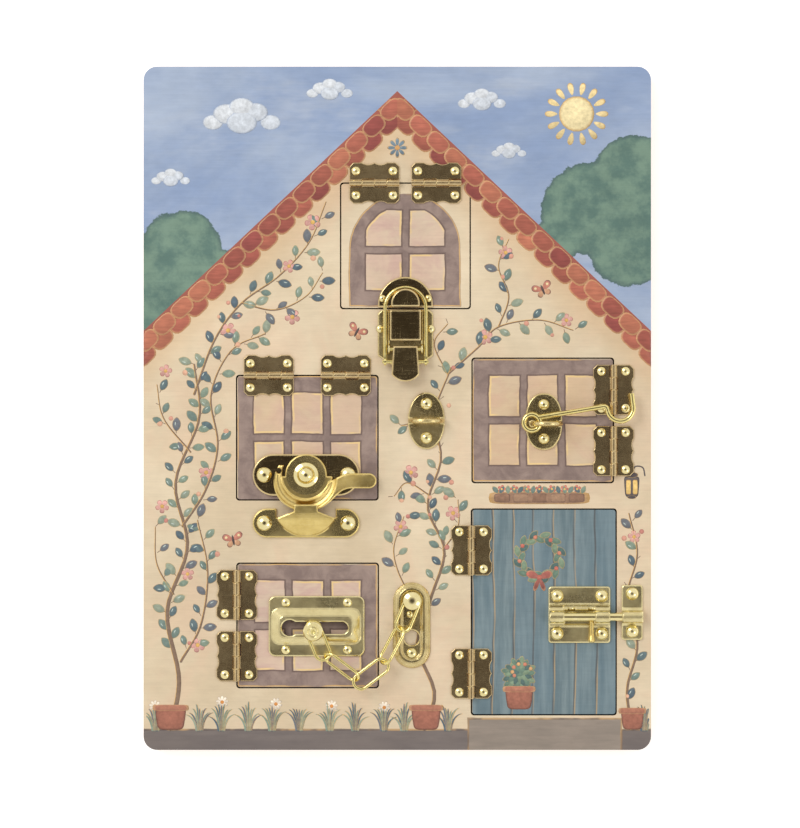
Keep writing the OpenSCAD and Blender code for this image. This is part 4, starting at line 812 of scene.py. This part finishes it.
print("berries")
berries = {"count": 42, "away": 4.5, "size": (2.2, 3.4), "height": 0.11,
           "tones": [(206, 150, 130), (190, 128, 116), (216, 168, 140)]}
pick = random.choice(len(leafAt), berries["count"], replace=False)
berryAt = leafAt[pick] + random.uniform(-berries["away"], berries["away"], (berries["count"], 2))
berrySize = np.repeat(random.uniform(*berries["size"], (berries["count"], 1)), 2, 1)
berryColour = pickTones(berries["tones"], berries["count"])


def berriesOf(chosen):
    return spots(roundRim, berryAt[chosen], 0.0, berrySize[chosen], berries["height"], berryColour[chosen],
                 berryColour[chosen] * 0.7, base=0.02)


byBody("berries", berriesOf, berryAt, berrySize[:, 0] * 1.1)


# Round flowers: petals in a ring about a heart, turned by the spin. A petal starts 0.12 of the radius
# from the middle, and is as wide as 0.78 of its share of the circle.
def flowers(name, centres, radius, petals, tone, rim, heart, spin):
    tone, rim, heart = fromSrgb((tone, rim, heart))
    turns = np.tile(np.arange(petals) * 2 * np.pi / petals, len(centres)) + np.repeat(spin, petals)
    radii = np.repeat(radius, petals)[:, None]
    at = np.repeat(centres, petals, 0) + 0.12 * radii * heading(turns)
    sizes = radii * np.array([[0.95, 2 * np.pi / petals * 0.78]])
    colours = tone * random.uniform(0.9, 1.1, (len(at), 1))

    def petalsOf(chosen):
        some = np.repeat(chosen, petals)
        return spots(petalRim, at[some], turns[some], sizes[some], 0.09, colours[some], rim)

    def heartsOf(chosen):
        wide = np.repeat(radius[chosen, None] * 0.6, 2, 1)
        return spots(roundRim, centres[chosen], 0.0, wide, 0.08, heart, heart * 0.7, base=0.08)

    byBody(f"{name}Petals", petalsOf, centres, radius, 0.6)
    byBody(f"{name}Hearts", heartsOf, centres, radius, 0.6)


blossomAt = np.array([
    (-113, -38), (-124, -98), (-139, -58), (-100, 46), (-64, 84), (-118, -140), (-137, 22), (-50, 110),
    (10, -128), (2, -70), (33, -62), (8, -38), (14, 6), (52, 42), (64, 92), (100, 52), (-62, 54),
    (139, -128), (140, -76)], float)
flowers("blossom", blossomAt, random.uniform(3.6, 4.6, len(blossomAt)), 5, (208, 158, 148), (176, 116, 104),
        (212, 170, 96), random.uniform(0, 2, len(blossomAt)))

print("grass")
grass = {"tufts": [-143, -117, -104, -88, -74, -58, -40, -25, -8, 4, 30, 146], "blades": 9, "points": 24,
         "foot": -190.5, "tall": 15, "wide": 1.9, "footHalf": 1.6, "tipHalf": 6.5}
tuftX = np.array(grass["tufts"])
spread = np.linspace(-1, 1, grass["blades"])
s = np.linspace(0, 1, grass["points"])
bladePaths, bladeTones = [], []
# a blade fans out with the power 1.7 of the way along it, and rises with the sine of 1.45 times the way
for x in tuftX:
    high = grass["tall"] * (1 - 0.35 * spread ** 2) * random.uniform(0.8, 1.15, grass["blades"])
    px = x + grass["footHalf"] * spread[:, None] + grass["tipHalf"] * spread[:, None] * s ** 1.7
    bladePaths.append(np.stack([px, grass["foot"] + high[:, None] * np.sin(s * 1.45)], -1))
    bladeTones.append(pickTones(leafTones, grass["blades"]))
bladePaths = np.concatenate(bladePaths)
cutStrips("grass", bladePaths, grass["wide"] * (1 - s ** 2 * 0.85), 0.08, np.concatenate(bladeTones))
cutStrips("grassEdges", bladePaths + [0.55, 0], 0.26, 0.11, golden)
daisies = {"high": -175.0, "radius": 3.6, "petals": 9}
daisyAt = np.stack([tuftX[:-1] + 1, np.full(len(tuftX) - 1, daisies["high"])], -1)
daisyAt = (daisyAt + random.uniform(-2, 2, daisyAt.shape))[::2]
flowers("daisy", daisyAt, np.full(len(daisyAt), daisies["radius"]), daisies["petals"], (226, 214, 196),
        (186, 170, 150), (208, 140, 74), random.uniform(0, 1, len(daisyAt)))


# Spots at given places on one body. What is given once holds for all of them.
def motif(name, outline, places, sizes, tones, rim, turns=0.0, base=0.0, body="board"):
    places = np.atleast_2d(np.asarray(places, float))
    tones = np.resize(fromSrgb(np.atleast_2d(tones)), (len(places), 3))
    made = spots(outline, places, turns, sizes, 0.1, tones, fromSrgb(rim), base=base)
    put(name, made, body)


# Angles spaced evenly, and the points at them round a centre.
def ring(centre, radius, count, start=0.0):
    angles = start + np.arange(count) * 2 * np.pi / count
    return angles, np.array(centre) + radius * heading(angles)


print("motifs")
ochre = (196, 160, 100)
sun = {"centre": (106, 174), "disc": 21.0, "rays": 14, "ray": (7.5, 4.6)}
angles, places = ring(sun["centre"], sun["disc"] / 2 + 0.8, sun["rays"])
motif("sunRays", petalRim, places, sun["ray"], (226, 204, 150), ochre, angles)
motif("sunDisc", roundRim, sun["centre"], sun["disc"], (232, 216, 168), (204, 168, 108), base=0.03)

# puffs of a cloud: place against the cloud's middle and width, mm
puffs = np.array([(-17, -3, 12), (17, -3, 12), (-9, 2, 16), (8, 3, 15), (0, 6, 15), (0, -3, 18)], float)
clouds = [(-92, 172, 1.0), (-40, 188, 0.6), (50, 182, 0.62), (66, 152, 0.45), (-134, 136, 0.5)]
places = np.concatenate([puffs[:, :2] * k + (x, y) for x, y, k in clouds])
sizes = np.concatenate([puffs[:, 2:] * k for x, y, k in clouds]) * np.array([[1.0, 0.74]])
motif("clouds", roundRim, places, sizes, [(206, 211, 217), (198, 205, 214)], (172, 183, 200),
      base=np.tile(np.arange(len(puffs)) * 0.02, len(clouds)))

# pots: body, centre, width and height, mm
pots = {"potByTree": ("board", -134, -183.6, 19, 13), "potByDoor": ("board", 17, -183.6, 18, 13),
        "potRight": ("board", 139, -184.4, 14, 11), "potOnDoor": ("door", 72, -172, 17, 12)}
for name, (body, x, y, w, h) in pots.items():
    motif(name, potRim, (x, y), (w, h), (158, 102, 84), (122, 74, 58), base=0.1, body=body)
    motif(f"{name}Rim", tileRim, (x, y + h / 2), (w + 2.4, 3.6), (172, 116, 94), (200, 158, 112), base=0.16,
          body=body)

box = {"centre": (84, -53), "size": (60, 7.4), "slats": (-22, -11, 0, 11, 22), "leaves": 15, "leafY": -48.2,
       "flowerY": -47.8}
along = box["centre"][0] + np.linspace(-26, 26, box["leaves"])
motif("windowBox", tileRim, box["centre"], box["size"], (150, 118, 96), (206, 164, 104))
motif("windowBoxSlats", tileRim, np.add(box["centre"], [(dx, 0) for dx in box["slats"]]), (9.4, 5.0),
      [(140, 108, 88), (158, 126, 102)], (112, 84, 70), base=0.05)
motif("windowBoxLeaves", leafRim, [(x, box["leafY"]) for x in along], (5.2, 3.0), leafTones[:3], ochre,
      turns=np.pi / 2 + 0.7 * np.cos(np.arange(box["leaves"]) * 2.4), base=0.02)
flowers("windowBoxFlower", np.array([(x, box["flowerY"]) for x in along[1::2]]), np.full(7, 2.3), 5,
        (200, 120, 104), (164, 84, 76), (222, 180, 104), np.arange(7) * 0.5)

# bush in the door's pot: a spiral of leaves, 2.4 radians apart, with radii that grow as a square root
doorGreens = [(104, 128, 112), (84, 108, 104), (124, 144, 120)]
bush = {"centre": (72, -157.5), "radius": 8.4, "leaves": 34, "leaf": (6.4, 3.6), "berry": 2.3}
k = np.arange(bush["leaves"])
bushAt = np.array(bush["centre"]) + heading(k * 2.4) * np.sqrt(k / bush["leaves"])[:, None] * bush["radius"]
motif("bush", leafRim, bushAt, bush["leaf"], doorGreens, (190, 160, 104), turns=k * 2.4,
      base=np.linspace(0.08, 0.0, bush["leaves"]), body="door")
motif("bushBerries", roundRim, bushAt[4::5], bush["berry"], [(206, 134, 108), (214, 168, 116)],
      (150, 88, 70), base=0.12, body="door")

# wreath over the bush: leaves leaning in and out by turns, berries, a bow of four petals and its knot
wreath = {"centre": (84, -88), "radius": 12.0, "leaves": 24, "leaf": (7.2, 3.8), "berries": 8, "berry": 2.5,
          "bow": (84, -100), "knot": 3.2}
angles, places = ring(wreath["centre"], wreath["radius"], wreath["leaves"])
odd = np.arange(wreath["leaves"]) % 2
places += 1.5 * np.where(odd, 1, -1)[:, None] * heading(angles)
motif("wreath", leafRim, places, wreath["leaf"], doorGreens, (190, 160, 104),
      turns=angles + np.pi / 2 + np.where(odd, 0.5, -0.5), base=odd * 0.04, body="door")
motif("wreathBerries", roundRim, ring(wreath["centre"], wreath["radius"], wreath["berries"], 0.2)[1],
      wreath["berry"], [(206, 134, 108), (196, 112, 96)], (150, 80, 66), base=0.09, body="door")
motif("wreathBow", petalRim, [wreath["bow"]] * 4, np.repeat([(8, 6), (8.5, 3.4)], 2, 0), (164, 98, 88),
      (206, 150, 110), turns=[0.35, np.pi - 0.35, -1.2, np.pi + 1.2], base=0.1, body="door")
motif("wreathKnot", roundRim, wreath["bow"], wreath["knot"], (190, 110, 94), (140, 74, 64), base=0.16,
      body="door")

# a lamp on its bracket at the right of the door: two panes, and a cap and a foot
lamp = {"bracket": [(146.4, -40), (145.2, -35.2), (141, -34.4), (138.6, -37.6)], "case": (138.6, -46.4),
        "panes": [(136.7, -46.6), (140.6, -46.6)], "caps": [(138.6, -39.4), (138.6, -52.6)]}
cutStrips("lampBracket", [stroke(lamp["bracket"], 30)], 1.0, 0.11, fromSrgb((92, 84, 84)), room=0.2)
motif("lampCase", potRim, lamp["case"], (9.6, 12.5), (98, 90, 88), (70, 62, 62))
motif("lampGlass", tileRim, lamp["panes"], (2.9, 8.6), (232, 196, 122), (196, 150, 84), base=0.06)
motif("lampCap", roundRim, lamp["caps"], [(7.6, 3.4), (5.4, 2.0)], (84, 76, 78), ochre, base=0.07)

# butterflies: four wings, two dots and a body each, all turned by the lean
butterflies = {"at": [(86, 70, 0.4), (-24, 45, -0.5), (-97, -78, 0.2)],
               "wings": np.array([0.55, np.pi - 0.55, -0.75, np.pi + 0.75]), "dots": 4.4}
for k, (x, y, lean) in enumerate(butterflies["at"]):
    wings = butterflies["wings"] + lean
    motif(f"butterfly{k}", petalRim, [(x, y)] * 4, np.repeat([(6.8, 5.2), (5, 4.2)], 2, 0),
          np.repeat([(186, 122, 104), (206, 158, 122)], 2, 0), (120, 84, 76), wings)
    motif(f"butterflyDots{k}", roundRim, (x, y) + butterflies["dots"] * heading(wings[:2]), 1.7,
          (228, 206, 160), (206, 158, 122), base=0.07)
    motif(f"butterflyBody{k}", leafRim, (x, y), (6.4, 1.5), (84, 70, 66), (84, 70, 66), lean + np.pi / 2,
          base=0.07)

rosette = {"centre": (0, 154), "petals": 8, "petal": (5.2, 2.9), "heart": 3.2}
angles, places = ring(rosette["centre"], 0.8, rosette["petals"])
motif("rosette", petalRim, places, rosette["petal"], (112, 130, 142), ochre, angles)
motif("rosetteHeart", roundRim, rosette["centre"], rosette["heart"], (206, 158, 100), (150, 110, 74),
      base=0.06)

print("light")
floorLook = {"half": 3.0, "low": -0.0006, "tone": (0.93, 0.96), "glow": 0.4}  # metres
# soft square lights, aimed at the board's middle: place and side in metres, and power in watts
lights = {"keyLight": ((-1.25, 1.05, 1.5), 1.1, 18.5), "fillLight": ((1.6, -0.9, 1.5), 0.9, 5.7)}
# a dark ceiling round the zenith and pale walls below it, in linear colours, and the heights, 1 at the
# zenith, where one turns into the other
roomLook = {"ceiling": [1, 0.85, 0.74], "walls": [1, 0.975, 0.94], "strength": (0.045, 0.97),
            "heights": (0.995, 0.86)}
view = {"place": (0.0016, -0.0034, 2.012), "sensor": 36.0, "lens": 36.0 * 2000 / 489.5, "clip": (0.1, 20.0)}


# A pale matt floor under the board: one square, wide enough to fill the view.
def makeFloor():
    half, low = floorLook["half"], floorLook["low"]
    mesh = bpy.data.meshes.new("floor")
    mesh.from_pydata([(-half, -half, low), (half, -half, low), (half, half, low), (-half, half, low)], [],
                     [(0, 1, 2, 3)])
    floor = addObject("floor", mesh)
    g = Graph(bpy.data.materials.new("paleFloor"))
    tone = g.noise(2.5, 3).ramp(*floorLook["tone"])
    colour = g.value("ShaderNodeCombineColor", {0: tone, 1: tone, 2: tone})
    mesh.materials.append(g.finish(Base_Color=colour, Roughness=0.75, Specular_IOR_Level=0.15,
                                   Emission_Color=(1, 1, 1), Emission_Strength=floorLook["glow"]))
    floor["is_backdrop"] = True


makeFloor()
for name, (place, wide, power) in lights.items():
    glow = bpy.data.lights.new(name, "AREA")
    glow.shape, glow.size, glow.size_y = "RECTANGLE", wide, wide
    glow.energy = power
    held = addObject(name, glow)
    held.location = place
    held.rotation_euler = (-Vector(place)).to_track_quat("-Z", "Y").to_euler()

g = Graph(bpy.data.worlds.new("room"), "Background")
change = g.axes(g.around)[2].ramp(*roomLook["strength"], *roomLook["heights"])
tone = g.mix(change, roomLook["ceiling"], roomLook["walls"])
scene.world = g.finish(Color=tone, Strength=change)
scene.view_settings.view_transform = "Standard"

lens = bpy.data.cameras.new("camera")
camera = addObject("camera", lens)
camera.location = view["place"]
lens.sensor_width, lens.lens = view["sensor"], view["lens"]
lens.clip_start, lens.clip_end = view["clip"]
scene.camera = camera

sizes = {"cad": [[float(v) for v in corner] for corner in cadBox],
         "visual": [[float(v) for v in corner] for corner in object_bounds()]}
print("sizes", sizes)
